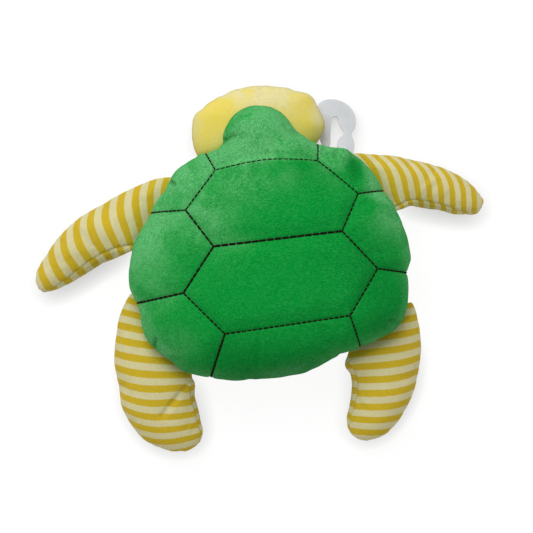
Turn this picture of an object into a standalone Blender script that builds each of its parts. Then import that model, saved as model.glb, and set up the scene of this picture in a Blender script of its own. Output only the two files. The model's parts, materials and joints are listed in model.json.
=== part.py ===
"""Plush sea turtle lying on its belly: a stuffed shell and belly, a head with a neck lobe, four
flippers and a plastic hang hook on a tape loop.

Metres, +Z up. The origin is the centre of the flat under the belly. +Y points to the head and +X to
the side that is on the right when the turtle is seen from above with its head away from the viewer.
"""

import math

import bmesh
import bpy
from mathutils import Matrix, Vector
from mathutils.bvhtree import BVHTree

# Cloth, thread and clearances
PLUSH_THICKNESS = 0.0015
COTTON_THICKNESS = 0.001
CLEARANCE = 0.0003
FILLING_CLEARANCE = 0.0005
FLOOR_CUT = 0.0005
THREAD_THICKNESS = 0.0012
STITCH_LENGTH = 0.0035
# Edges sharper than this, in degrees, aren't smoothed
SHARP_ANGLE = 40

# Shell and belly
SHELL_WIDTH = 0.187
SHELL_LENGTH = 0.165
SHELL_HEIGHT = 0.072
SEAM_HEIGHT = 0.024
BODY_OUTLINE_SHARES = (
    (1.00, 0.00),
    (0.91, 0.38),
    (0.75, 0.71),
    (0.45, 0.89),
    (0.15, 0.96),
    (-0.15, 0.96),
    (-0.46, 0.91),
    (-0.71, 0.68),
    (-0.91, 0.37),
    (-1.02, 0.00),
    (-0.97, -0.40),
    (-0.79, -0.75),
    (-0.46, -0.89),
    (-0.15, -0.93),
    (0.14, -0.92),
    (0.42, -0.82),
    (0.73, -0.70),
    (0.96, -0.40),
)
# Spread from the centre and rise above the rim seam, from the top of the shell to the seam
SHELL_PROFILE_SHARES = (
    (0.0, 1.0),
    (0.30, 0.99),
    (0.55, 0.95),
    (0.75, 0.86),
    (0.90, 0.70),
    (0.975, 0.50),
    (1.0, 0.29),
    (0.985, 0.125),
    (0.945, 0.0),
)
# Spread from the centre and drop below the rim seam, from the seam to the middle of the belly
BELLY_PROFILE_SHARES = (
    (0.945, 0.0),
    (0.90, 0.42),
    (0.80, 0.75),
    (0.65, 0.93),
    (0.50, 0.98),
    (0.30, 0.995),
    (0.0, 1.0),
)
RIM_SHARE = SHELL_PROFILE_SHARES[-1][0]
BODY_COLUMNS = 32

# Stitched lines on the shell: corners in shares of half the shell's width and length
STITCH_CORNER_SHARES = {
    "front_left": (-0.32, 0.77),
    "front_mid_left": (-0.05, 0.80),
    "front_mid_right": (0.18, 0.80),
    "front_right": (0.40, 0.76),
    "side_left": (-0.56, 0.48),
    "side_right": (0.65, 0.47),
    "middle_left": (-0.39, 0.17),
    "middle_right": (0.51, 0.18),
    "flank_left": (-0.63, -0.17),
    "flank_right": (0.74, -0.14),
    "rear_left": (-0.37, -0.53),
    "rear_right": (0.51, -0.49),
    "rim_front_left": (-0.37, 0.87),
    "rim_front_right": (0.42, 0.82),
    "rim_side_left": (-0.75, 0.50),
    "rim_side_right": (0.80, 0.48),
    "rim_flank_left": (-0.93, -0.21),
    "rim_flank_right": (0.94, -0.19),
    "rim_rear_left": (-0.50, -0.80),
    "rim_rear_right": (0.57, -0.71),
}
STITCH_LINES = (
    ("rim_front_left", "front_left"),
    ("front_left", "front_mid_left"),
    ("front_mid_left", "front_mid_right"),
    ("front_mid_right", "front_right"),
    ("front_right", "rim_front_right"),
    ("front_right", "side_right"),
    ("side_right", "rim_side_right"),
    ("side_right", "middle_right"),
    ("middle_right", "middle_left"),
    ("middle_left", "side_left"),
    ("side_left", "rim_side_left"),
    ("side_left", "front_left"),
    ("middle_right", "flank_right"),
    ("flank_right", "rim_flank_right"),
    ("flank_right", "rear_right"),
    ("rear_right", "rim_rear_right"),
    ("rear_right", "rear_left"),
    ("rear_left", "rim_rear_left"),
    ("rear_left", "flank_left"),
    ("flank_left", "rim_flank_left"),
    ("flank_left", "middle_left"),
)

# Head
HEAD_WIDTH = 0.0925
HEAD_LENGTH = 0.0425
HEAD_HEIGHT = 0.038
HEAD_OFFSET = 0.001
HEAD_GAP = 0.0005
HEAD_HINGE_HEIGHT = 0.050
HEAD_OUTLINE_SHARES = (
    (1.00, -0.45),
    (0.97, 0.10),
    (0.88, 0.45),
    (0.68, 0.69),
    (0.42, 0.87),
    (0.06, 0.99),
    (-0.20, 0.97),
    (-0.45, 0.84),
    (-0.67, 0.66),
    (-0.88, 0.42),
    (-0.97, 0.12),
    (-1.00, -0.30),
    (-0.97, -0.75),
    (-0.80, -0.98),
    (-0.35, -0.97),
    (0.05, -0.95),
    (0.45, -0.97),
    (0.82, -0.98),
    (0.96, -0.80),
)
# Spread from the centre and height, from the crown to the seam and from the seam to the chin
CROWN_PROFILE_SHARES = ((0.0, 1.0), (0.50, 0.98), (0.78, 0.90), (0.94, 0.72), (1.0, 0.5))
CHIN_PROFILE_SHARES = ((1.0, 0.5), (0.92, 0.25), (0.75, 0.075), (0.45, 0.012), (0.0, 0.0))
HEAD_COLUMNS = 28

# Neck lobe that lies over the crown
NECK_WIDTH = 0.051
NECK_REACH = 0.0255
NECK_BASE_HEIGHT = 0.030
NECK_TOP_HEIGHT = 0.057
NECK_OUTLINE_SHARES = (
    (1.0, 0.04),
    (0.96, 0.30),
    (0.80, 0.62),
    (0.46, 0.90),
    (0.06, 1.0),
    (-0.34, 0.92),
    (-0.70, 0.66),
    (-0.94, 0.32),
    (-1.0, 0.04),
    (-0.90, -0.35),
    (0.0, -0.45),
    (0.90, -0.35),
)
NECK_PROFILE_SHARES = (
    (0.0, 1.0),
    (0.35, 0.97),
    (0.62, 0.88),
    (0.82, 0.72),
    (0.94, 0.50),
    (1.0, 0.24),
    (1.0, 0.0),
)
NECK_COLUMNS = 24

# Embroidered face, on the front of the chin, which is hidden from above
EYE_LENGTH = 0.009
EYE_HEIGHT = 0.008
EYE_SPACING = 0.040
EYE_LEVEL = 0.0135
EYE_THICKNESS = 0.0012
EYE_COLUMNS = 12
SMILE_WIDTH = 0.018
SMILE_DEPTH = 0.003
SMILE_LEVEL = 0.0085
SMILE_STITCHES = 8

# Flippers: the straight distance from root to tip, the widest width, and where the root is sewn,
# in turns round the shell's outline
FLIPPERS = {
    "front_left": {"reach": 0.0965, "width": 0.053, "thickness": 0.026, "turn": 0.42, "hand": 1},
    "front_right": {"reach": 0.0763, "width": 0.047, "thickness": 0.026, "turn": 0.085, "hand": -1},
    "rear_left": {"reach": 0.080, "width": 0.068, "thickness": 0.032, "turn": 0.578, "hand": 1},
    "rear_right": {"reach": 0.0735, "width": 0.058, "thickness": 0.032, "turn": 0.888, "hand": -1},
}
# For each section from the root to the tip: distance out from the seam and distance towards the
# head, as shares of the reach, its width as a share of the widest, and its turn in degrees
FLIPPER_SECTION_SHARES = {
    "front_left": (
        (0.0, 0.0, 0.83, 0),
        (0.09, -0.05, 0.97, 8),
        (0.175, -0.175, 0.86, 23),
        (0.243, -0.28, 0.73, 39),
        (0.317, -0.41, 0.655, 55),
        (0.39, -0.553, 0.575, 63),
        (0.438, -0.695, 0.46, 64),
        (0.466, -0.807, 0.32, 65),
        (0.476, -0.864, 0.185, 62),
        (0.478, -0.876, 0.07, 62),
    ),
    "front_right": (
        (0.0, 0.0, 0.81, 0),
        (0.125, -0.04, 0.93, 2),
        (0.24, -0.11, 0.80, 13),
        (0.328, -0.19, 0.695, 27),
        (0.426, -0.29, 0.645, 40),
        (0.52, -0.397, 0.59, 48),
        (0.607, -0.514, 0.50, 54),
        (0.667, -0.613, 0.385, 58),
        (0.70, -0.69, 0.21, 62),
        (0.708, -0.705, 0.08, 62),
    ),
    "rear_left": (
        (0.0, 0.0, 0.79, 0),
        (0.07, -0.05, 0.94, 12),
        (0.136, -0.136, 0.92, 26),
        (0.207, -0.25, 0.845, 40),
        (0.26, -0.38, 0.79, 49),
        (0.304, -0.525, 0.753, 56),
        (0.33, -0.672, 0.68, 63),
        (0.333, -0.79, 0.555, 67),
        (0.328, -0.892, 0.356, 71),
        (0.335, -0.93, 0.12, 72),
    ),
    "rear_right": (
        (0.0, 0.0, 0.80, 0),
        (0.08, 0.04, 0.96, 5),
        (0.19, -0.01, 0.93, 13),
        (0.30, -0.087, 0.855, 21),
        (0.40, -0.175, 0.79, 28),
        (0.487, -0.29, 0.717, 36),
        (0.57, -0.43, 0.628, 48),
        (0.635, -0.576, 0.517, 58),
        (0.664, -0.688, 0.31, 62),
        (0.678, -0.72, 0.11, 62),
    ),
}
FLIPPER_TIP_SHARES = {
    "front_left": (0.480, -0.885),
    "front_right": (0.712, -0.713),
    "rear_left": (0.340, -0.945),
    "rear_right": (0.684, -0.732),
}
# Thickness of each section and how far its middle has come down from the seam to the floor
FLIPPER_SWELL_SHARES = (
    (0.0, 0.0),
    (0.28, 0.10),
    (0.60, 0.42),
    (0.84, 0.78),
    (0.97, 0.97),
    (1.0, 1.0),
    (0.92, 1.0),
    (0.74, 1.0),
    (0.46, 1.0),
    (0.14, 1.0),
)
# The pinched root, rounded about the hinge: distance behind the axis and half thickness
ROOT_BEAD_SHARES = ((0.70, 0.70), (0.92, 0.38))
SECTION_STEPS = 6

# Hang hook: a flat plate that turns on its eye bar
HOOK_THICKNESS = 0.0014
HOOK_BAR_HEIGHT = 0.012
HOOK_TURN = -9.5
HOOK_RADIUS = 0.0147
HOOK_STEM = 0.0275
HOOK_SHIFT = 0.0068
HOOK_STEM_WIDTH = 0.0110
HOOK_NECK_WIDTH = 0.0056
HOOK_BAR_WIDTH = 0.0026
HOOK_EYE_LENGTH = 0.009
HOOK_EYE_WIDTH = 0.003
HOOK_SLOT_WIDTH = 0.0052
HOOK_LEG_WIDTH = 0.0055
HOOK_TIP_REST = 0.0002
# Of the stem's length: where the tab starts to narrow on its left and right, and its waist
TAB_SHOULDER_SHARES = (0.42, 0.38)
TAB_WAIST_SHARE = 0.50
# Of the stem's length: the low and high ends of the neck, and the low end of the leg
STEM_NECK_SHARES = (0.60, 0.68)
LEG_END_SHARE = 0.38
# Of the stem's width: its cut corners
TAB_CORNER_SHARE = 0.17
# Of the slot's width and the stem's length: the middle of the slot's round top
SLOT_TOP_SHARES = (0.65, 1.02)
# Start, end and steps of each arc of the hook, in degrees
BEND_ARC = (-24, 182, 16)
LEG_ARC = (190, 350, 6)
SLOT_ARC = (170, 20, 5)
TAPE_WIDTH = 0.008
TAPE_THICKNESS = 0.0008
TAPE_TURN = 0.136
TAPE_TOP_HEIGHT = 0.0232
TAPE_ARC_STEPS = 8

SHELL_GREEN = (0.012, 0.33, 0.06, 1)
PLUSH_YELLOW = (0.80, 0.68, 0.20, 1)
STRIPE_YELLOW = (0.72, 0.52, 0.06, 1)
FILLING_WHITE = (0.85, 0.85, 0.83, 1)
THREAD_BLACK = (0.02, 0.015, 0.012, 1)
TAPE_WHITE = (0.80, 0.80, 0.78, 1)
HOOK_CLEAR = (0.62, 0.64, 0.67, 1)


def clear_scene():
    for obj in list(bpy.data.objects):
        bpy.data.objects.remove(obj, do_unlink=True)


def make_material(name, colour, roughness, alpha=1.0):
    material = bpy.data.materials.new(name)
    material.use_nodes = True
    shader = material.node_tree.nodes["Principled BSDF"]
    shader.inputs["Base Color"].default_value = colour
    shader.inputs["Roughness"].default_value = roughness
    shader.inputs["Metallic"].default_value = 0
    shader.inputs["Alpha"].default_value = alpha
    material.diffuse_color = colour
    return material


def make_empty(name, location, turn=0.0):
    """An empty on a joint's axis. Its +X is the axis and its +Y points out of the body."""
    empty = bpy.data.objects.new(name, None)
    empty.location = location
    empty.rotation_euler.z = turn
    PARTS.objects.link(empty)
    return empty


def face_outwards(mesh):
    """A form whose rows run the other way is turned, so that its faces point out."""
    if mesh.calc_volume(signed=True) < 0:
        bmesh.ops.reverse_faces(mesh, faces=mesh.faces)


def make_object(name, mesh, material, parent=None):
    """An object from a bmesh, which is freed. The mesh is in its parent's frame."""
    face_outwards(mesh)
    data = bpy.data.meshes.new(name)
    mesh.to_mesh(data)
    mesh.free()
    data.materials.append(material)
    data.shade_smooth()
    data.set_sharp_from_angle(angle=math.radians(SHARP_ANGLE))
    obj = bpy.data.objects.new(name, data)
    obj.parent = parent
    PARTS.objects.link(obj)
    return obj


def closed_curve_point(points, turn):
    """The point at a share of one turn along the smooth closed curve through the points."""
    place = turn * len(points)
    first = math.floor(place)
    f = place - first
    corners = (points[(first + step) % len(points)] for step in (-1, 0, 1, 2))
    return tuple(
        b + 0.5 * f * (c - a + f * (2 * a - 5 * b + 4 * c - d + f * (3 * (b - c) + d - a)))
        for a, b, c, d in zip(*corners)
    )


def closed_form(rows, columns, place, runs_back=lambda band, column: False):
    """A unit sphere whose rings are moved to the rows of a form. place(row, column) is a point.

    Each four-sided face is split along the same way of the form, also where a skin's rows or
    columns run back along its inside, so that surfaces that nest keep their distance.
    """
    mesh = bmesh.new()
    bands = len(rows) - 1
    bmesh.ops.create_uvsphere(mesh, u_segments=columns, v_segments=bands, radius=1)
    rings = {}
    for vertex in mesh.verts:
        ring = round(bands * math.acos(max(-1, min(1, vertex.co.z))) / math.pi)
        turn = math.atan2(vertex.co.x, -vertex.co.y) / math.tau
        rings[vertex] = (ring, round(columns * turn) % columns)
    for face in mesh.faces[:]:
        if len(face.verts) == 4:
            band = min(rings[vertex][0] for vertex in face.verts)
            found = sorted({rings[vertex][1] for vertex in face.verts})
            first, last = found if found[1] - found[0] == 1 else found[::-1]
            if runs_back(band, first):
                first, last = last, first
            ends = [v for v in face.verts if rings[v] in ((band, first), (band + 1, last))]
            bmesh.utils.face_split(face, *ends)
    for vertex, (ring, column) in rings.items():
        vertex.co = place(rows[ring], column)
    return mesh


def cut_flat(mesh, point, normal):
    """Cuts a closed form at a plane, and closes it there. What the normal points to goes."""
    everything = mesh.verts[:] + mesh.edges[:] + mesh.faces[:]
    cut = bmesh.ops.bisect_plane(
        mesh, geom=everything, plane_co=point, plane_no=normal, clear_outer=True
    )
    edges = [item for item in cut["geom_cut"] if isinstance(item, bmesh.types.BMEdge)]
    if edges:
        bmesh.ops.triangle_fill(mesh, use_beauty=True, use_dissolve=False, edges=edges)


def cut_by(obj, cutter):
    """Takes the cutter's space from the object."""
    difference = obj.modifiers.new("cut by " + cutter.name, "BOOLEAN")
    difference.operation = "DIFFERENCE"
    difference.object = cutter


def make_cutter(name, mesh, parent=None):
    data = bpy.data.meshes.new(name)
    face_outwards(mesh)
    mesh.to_mesh(data)
    mesh.free()
    cutter = bpy.data.objects.new(name, data)
    cutter.parent = parent
    cutter.hide_render = True
    cutter.display_type = "WIRE"
    CUTTERS.objects.link(cutter)
    return cutter


# Shell, belly and the filling between them


def shell_rows(inset):
    low = SEAM_HEIGHT + CLEARANCE / 2
    rise = SHELL_HEIGHT - inset - low
    return [(spread, low + share * rise, inset) for spread, share in SHELL_PROFILE_SHARES]


def belly_rows(inset):
    high = SEAM_HEIGHT - CLEARANCE / 2
    drop = high + FLOOR_CUT - inset
    return [(spread, high - share * drop, inset) for spread, share in BELLY_PROFILE_SHARES]


def body_edge(turn):
    x, y = closed_curve_point(BODY_OUTLINE_SHARES, turn)
    return Vector((x * SHELL_WIDTH / 2, y * SHELL_LENGTH / 2, 0))


def body_point(row, column):
    spread, height, inset = row
    edge = body_edge(column / BODY_COLUMNS)
    point = edge * spread * (1 - inset / edge.length)
    point.z = height
    return point


def body_front():
    return max(body_edge(column / BODY_COLUMNS).y for column in range(BODY_COLUMNS))


def make_body():
    shell = closed_form(
        shell_rows(0) + shell_rows(PLUSH_THICKNESS)[::-1],
        BODY_COLUMNS,
        body_point,
        lambda band, column: band >= len(SHELL_PROFILE_SHARES),
    )
    make_topstitching(BVHTree.FromBMesh(shell))
    make_object("shell_cover", shell, GREEN_PLUSH)

    belly = closed_form(
        belly_rows(PLUSH_THICKNESS)[::-1] + belly_rows(0),
        BODY_COLUMNS,
        body_point,
        lambda band, column: band < len(BELLY_PROFILE_SHARES),
    )
    cut_flat(belly, (0, 0, 0), (0, 0, -1))
    make_object("belly_cover", belly, YELLOW_PLUSH)

    inset = PLUSH_THICKNESS + FILLING_CLEARANCE
    filling = closed_form(shell_rows(inset) + belly_rows(inset), BODY_COLUMNS, body_point)
    make_object("body_filling", filling, FILLING)


def make_topstitching(shell_surface):
    """The black thread, as one network of lines that lies on the shell."""
    corners = {
        name: Vector((x * SHELL_WIDTH / 2, y * SHELL_LENGTH / 2, 0))
        for name, (x, y) in STITCH_CORNER_SHARES.items()
    }
    lift = THREAD_THICKNESS + CLEARANCE
    mesh = bmesh.new()

    def vertex_at(place):
        above = Vector((place.x, place.y, 2 * SHELL_HEIGHT))
        hit, normal, _, _ = shell_surface.ray_cast(above, Vector((0, 0, -1)))
        return mesh.verts.new(hit + normal * lift)

    ends = {name: vertex_at(place) for name, place in corners.items()}
    for start, end in STITCH_LINES:
        steps = max(1, round((ends[end].co - ends[start].co).length / STITCH_LENGTH))
        line = [ends[start]]
        line += [
            vertex_at(corners[start].lerp(corners[end], step / steps)) for step in range(1, steps)
        ]
        line.append(ends[end])
        for a, b in zip(line, line[1:]):
            mesh.edges.new((a, b))
    data = bpy.data.meshes.new("shell_topstitching")
    mesh.to_mesh(data)
    mesh.free()
    data.materials.append(BLACK_THREAD)
    thread = bpy.data.objects.new("shell_topstitching", data)
    PARTS.objects.link(thread)
    thread.modifiers.new("thread", "SKIN")
    for point in data.skin_vertices[0].data:
        point.radius = (THREAD_THICKNESS / 2, THREAD_THICKNESS / 2)
    data.skin_vertices[0].data[0].use_root = True
    space = closed_form(
        shell_rows(-CLEARANCE) + [(0, SEAM_HEIGHT - CLEARANCE, 0)], BODY_COLUMNS, body_point
    )
    cut_by(thread, make_cutter("shell_space", space))


# Head: its middle is worked out from the front of the shell


def head_middle():
    rear_share = min(y for _, y in HEAD_OUTLINE_SHARES)
    rear = body_front() + HEAD_GAP
    return Vector((HEAD_OFFSET, rear - rear_share * HEAD_LENGTH / 2, 0))


def head_rows(profile, inset, gap):
    """Rows of the head's profile. gap is the height that a seam leaves at the middle."""
    low = -FLOOR_CUT + inset
    high = HEAD_HEIGHT - inset
    return [(spread, low + share * (high - low) + gap, inset) for spread, share in profile]


def head_point(row, column):
    spread, height, inset = row
    x, y = closed_curve_point(HEAD_OUTLINE_SHARES, column / HEAD_COLUMNS)
    edge = Vector((x * HEAD_WIDTH / 2, y * HEAD_LENGTH / 2, 0))
    point = head_middle() + edge * spread * (1 - inset / edge.length)
    point.z = height
    return point - head_hinge()


def head_hinge():
    return Vector((0, body_front() + CLEARANCE, HEAD_HINGE_HEIGHT))


def make_head():
    hinge = make_empty("head_hinge", head_hinge())
    gap = CLEARANCE / 2
    crown = closed_form(
        head_rows(CROWN_PROFILE_SHARES, 0, gap)
        + head_rows(CROWN_PROFILE_SHARES, PLUSH_THICKNESS, gap)[::-1],
        HEAD_COLUMNS,
        head_point,
        lambda band, column: band >= len(CROWN_PROFILE_SHARES),
    )
    chin = closed_form(
        head_rows(CHIN_PROFILE_SHARES, PLUSH_THICKNESS, -gap)[::-1]
        + head_rows(CHIN_PROFILE_SHARES, 0, -gap),
        HEAD_COLUMNS,
        head_point,
        lambda band, column: band < len(CHIN_PROFILE_SHARES),
    )
    floor = (0, 0, -head_hinge().z)
    cut_flat(chin, floor, (0, 0, -1))
    inset = PLUSH_THICKNESS + FILLING_CLEARANCE
    filling = closed_form(
        head_rows(CROWN_PROFILE_SHARES, inset, 0)[:-1] + head_rows(CHIN_PROFILE_SHARES, inset, 0),
        HEAD_COLUMNS,
        head_point,
    )
    space = closed_form(
        head_rows(CROWN_PROFILE_SHARES, -CLEARANCE, 0)[:-1]
        + head_rows(CHIN_PROFILE_SHARES, -CLEARANCE, 0),
        HEAD_COLUMNS,
        head_point,
    )
    surface = BVHTree.FromBMesh(chin)
    head_space = make_cutter("head_space", space, hinge)
    make_object("head_crown", crown, YELLOW_PLUSH, hinge)
    make_object("head_chin", chin, YELLOW_PLUSH, hinge)
    make_object("head_filling", filling, FILLING, hinge)
    make_neck(hinge, head_space)
    make_face(hinge, head_space, surface)


def neck_rows(inset):
    rise = NECK_TOP_HEIGHT - inset - NECK_BASE_HEIGHT
    return [(spread, NECK_BASE_HEIGHT + share * rise, inset) for spread, share in NECK_PROFILE_SHARES]


def neck_point(row, column):
    spread, height, inset = row
    x, y = closed_curve_point(NECK_OUTLINE_SHARES, column / NECK_COLUMNS)
    edge = Vector((x * NECK_WIDTH / 2, y * NECK_REACH, 0))
    point = Vector((HEAD_OFFSET, 0, 0)) + edge * spread * (1 - inset / edge.length)
    point.z = height - head_hinge().z
    return point


def make_neck(hinge, head_space):
    """The lobe and its filling, cut by the head that they lie on and upright at the shell."""
    box = bmesh.new()
    bmesh.ops.create_cube(box, size=1)
    side_size = Vector((2 * NECK_WIDTH, 2 * NECK_REACH, 2 * NECK_TOP_HEIGHT))
    bmesh.ops.scale(box, vec=side_size, verts=box.verts)
    bmesh.ops.translate(box, vec=(0, -side_size.y / 2, 0), verts=box.verts)
    shell_side = make_cutter("shell_side", box, hinge)
    cover = closed_form(
        neck_rows(0) + neck_rows(PLUSH_THICKNESS)[::-1],
        NECK_COLUMNS,
        neck_point,
        lambda band, column: band >= len(NECK_PROFILE_SHARES),
    )
    filling = closed_form(
        neck_rows(PLUSH_THICKNESS + FILLING_CLEARANCE) + [(0, NECK_BASE_HEIGHT, 0)],
        NECK_COLUMNS,
        neck_point,
    )
    for name, mesh, material in (
        ("neck_cover", cover, GREEN_PLUSH),
        ("neck_filling", filling, FILLING),
    ):
        piece = make_object(name, mesh, material, hinge)
        cut_by(piece, head_space)
        cut_by(piece, shell_side)


def make_face(hinge, head_space, surface):
    """Two oval eyes and a smile, sewn on the front of the chin."""
    for side, name in ((-1, "left_eye"), (1, "right_eye")):
        hit, normal = front_of_head(surface, HEAD_OFFSET + side * EYE_SPACING / 2, EYE_LEVEL)
        eye = bmesh.new()
        bmesh.ops.create_uvsphere(
            eye, u_segments=EYE_COLUMNS, v_segments=EYE_COLUMNS // 2, radius=1
        )
        size = Vector((EYE_LENGTH / 2, EYE_HEIGHT / 2, EYE_THICKNESS))
        bmesh.ops.scale(eye, vec=size, verts=eye.verts)
        facing = Matrix.Translation(hit) @ normal.to_track_quat("Z", "Y").to_matrix().to_4x4()
        bmesh.ops.transform(eye, matrix=facing, verts=eye.verts)
        cut_by(make_object(name, eye, BLACK_THREAD, hinge), head_space)

    points = []
    for step in range(SMILE_STITCHES + 1):
        share = 2 * step / SMILE_STITCHES - 1
        level = SMILE_LEVEL + SMILE_DEPTH * share * share
        hit, normal = front_of_head(surface, HEAD_OFFSET + share * SMILE_WIDTH / 2, level)
        points.append(hit + normal * (THREAD_THICKNESS / 2 + CLEARANCE))
    curve = bpy.data.curves.new("smile", "CURVE")
    curve.dimensions = "3D"
    curve.bevel_depth = THREAD_THICKNESS / 2
    curve.bevel_resolution = 1
    curve.use_fill_caps = True
    spline = curve.splines.new("POLY")
    spline.points.add(len(points) - 1)
    for point, place in zip(spline.points, points):
        point.co = (*place, 1)
    curve.materials.append(BLACK_THREAD)
    smile = bpy.data.objects.new("smile", curve)
    smile.parent = hinge
    PARTS.objects.link(smile)


def front_of_head(surface, x, level):
    """Where a line from the front meets the head, and the way the surface faces there."""
    start = Vector((x, head_middle().y + HEAD_LENGTH, level)) - head_hinge()
    hit, normal, _, _ = surface.ray_cast(start, Vector((0, -1, 0)))
    return hit, normal


# Flippers


def rim_frame(turn, distance):
    """A place beyond the rim seam, at a distance along the way out, and that way's heading."""
    step = 0.5 / BODY_COLUMNS
    along = (body_edge(turn + step) - body_edge(turn - step)).normalized()
    out = Vector((along.y, -along.x, 0))
    place = body_edge(turn) * RIM_SHARE + out * distance
    place.z = SEAM_HEIGHT
    return place, out


def flipper_sections(name, inset):
    """Sections from root to tip: middle, half width, half thickness and turn, root bead first."""
    flipper = FLIPPERS[name]
    bead = COTTON_THICKNESS + CLEARANCE / 2
    reach = flipper["reach"]
    rest = flipper["thickness"] / 2 - FLOOR_CUT
    sections = []
    for (out, side, width, turn), (swell, droop) in zip(
        FLIPPER_SECTION_SHARES[name], FLIPPER_SWELL_SHARES
    ):
        middle = Vector(
            (flipper["hand"] * side * reach, out * reach, droop * (rest - SEAM_HEIGHT))
        )
        half_width = width * flipper["width"] / 2 - inset
        half_height = max(bead, swell * flipper["thickness"] / 2)
        turn = flipper["hand"] * math.radians(turn)
        sections.append((middle, half_width, half_height, turn))
    root = sections[0]
    for behind, half in ROOT_BEAD_SHARES:
        sections.insert(0, (Vector((0, -behind * bead, 0)), root[1], half * bead, 0))
    return sections


def across(turn):
    return Vector((math.cos(turn), math.sin(turn), 0))


def flipper_panel(name, up):
    """The upper (up = 1) or lower (up = -1) cotton panel, seam to seam, as a closed skin."""
    flipper = FLIPPERS[name]
    base = CLEARANCE / 2
    columns = 2 * (SECTION_STEPS + 1)

    def place(row, column):
        middle, half_width, half_height, turn, share = row
        inner = column > SECTION_STEPS
        step = columns - 1 - column if inner else column
        angle = math.pi * step / SECTION_STEPS
        rise = half_height - base
        if inner:
            half_width = max(half_width - COTTON_THICKNESS, half_width / 2)
            rise = rise - COTTON_THICKNESS
            rise = rise if rise > COTTON_THICKNESS else 0
        point = middle + across(turn) * half_width * math.cos(angle) * share
        point.z += up * (base + rise * math.sin(angle) * share)
        if share == 0:
            point.z += up * (half_height - base) / 2
        return point

    sections = flipper_sections(name, 0)
    out, side = FLIPPER_TIP_SHARES[name]
    tip = Vector(
        (flipper["hand"] * side * flipper["reach"], out * flipper["reach"], sections[-1][0].z)
    )
    rows = [(*sections[0], 0)]
    rows += [(*section, 1) for section in sections]
    rows.append((tip, sections[-1][1], base, sections[-1][3], 0))
    return closed_form(
        rows, columns, place, lambda band, column: (column > SECTION_STEPS) == (up > 0)
    )


def flipper_filling(name):
    """The stuffing between the panels, wherever they stand apart."""
    inset = COTTON_THICKNESS + FILLING_CLEARANCE
    stuffed = [
        (middle, half_width, half_height - inset, turn, 1)
        for middle, half_width, half_height, turn in flipper_sections(name, inset)
        if half_height > CLEARANCE / 2 + 2 * COTTON_THICKNESS
    ]

    def place(row, column):
        middle, half_width, half_height, turn, share = row
        angle = math.pi * column / SECTION_STEPS
        point = middle + across(turn) * half_width * math.cos(angle) * share
        point.z += half_height * math.sin(angle) * share
        return point

    rows = [(*stuffed[0][:4], 0)] + stuffed + [(*stuffed[-1][:4], 0)]
    return closed_form(rows, 2 * SECTION_STEPS, place)


def make_flipper(name):
    bead = COTTON_THICKNESS + CLEARANCE / 2
    root, out = rim_frame(FLIPPERS[name]["turn"], bead + CLEARANCE)
    hinge = make_empty(name + "_hinge", root, math.atan2(out.y, out.x) - math.pi / 2)
    upper = flipper_panel(name, 1)
    lower = flipper_panel(name, -1)
    cut_flat(lower, (0, 0, -SEAM_HEIGHT), (0, 0, -1))
    make_object(name + "_upper_panel", upper, STRIPED_COTTON, hinge)
    make_object(name + "_lower_panel", lower, STRIPED_COTTON, hinge)
    make_object(name + "_filling", flipper_filling(name), FILLING, hinge)


# Hang hook and its tape loop


def tape_inner_radius():
    return math.hypot(HOOK_BAR_WIDTH, HOOK_THICKNESS) / 2 + CLEARANCE


def tape_place():
    """Middle of the tape loop, near enough to the rim for its corner to meet the seam."""
    _, out = rim_frame(TAPE_TURN, 0)
    heading = Matrix.Rotation(math.radians(HOOK_TURN), 3, "Z")
    forward = heading @ Vector((0, 1, 0))
    sideways = heading @ Vector((1, 0, 0))
    depth = tape_inner_radius() + TAPE_THICKNESS
    reach = abs(forward.dot(out)) * depth + abs(sideways.dot(out)) * TAPE_WIDTH / 2
    place, _ = rim_frame(TAPE_TURN, reach + CLEARANCE)
    place.z = HOOK_BAR_HEIGHT
    return place


def flat_curve(name, outlines, thickness, material, parent):
    """A plate between closed outlines, of which the first is its edge and the rest its holes."""
    curve = bpy.data.curves.new(name, "CURVE")
    curve.dimensions = "2D"
    curve.fill_mode = "BOTH"
    curve.extrude = thickness / 2
    for outline in outlines:
        spline = curve.splines.new("POLY")
        spline.points.add(len(outline) - 1)
        for point, (x, y) in zip(spline.points, outline):
            point.co = (x, y, 0, 1)
        spline.use_cyclic_u = True
    curve.materials.append(material)
    plate = bpy.data.objects.new(name, curve)
    plate.parent = parent
    PARTS.objects.link(plate)
    return plate


def arc(centre, radius, start, end, steps):
    """Points from one angle to another, in degrees, anticlockwise where the end is larger."""
    angles = (math.radians(start + (end - start) * step / steps) for step in range(steps + 1))
    return [
        (centre[0] + radius * math.cos(angle), centre[1] + radius * math.sin(angle))
        for angle in angles
    ]


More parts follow.
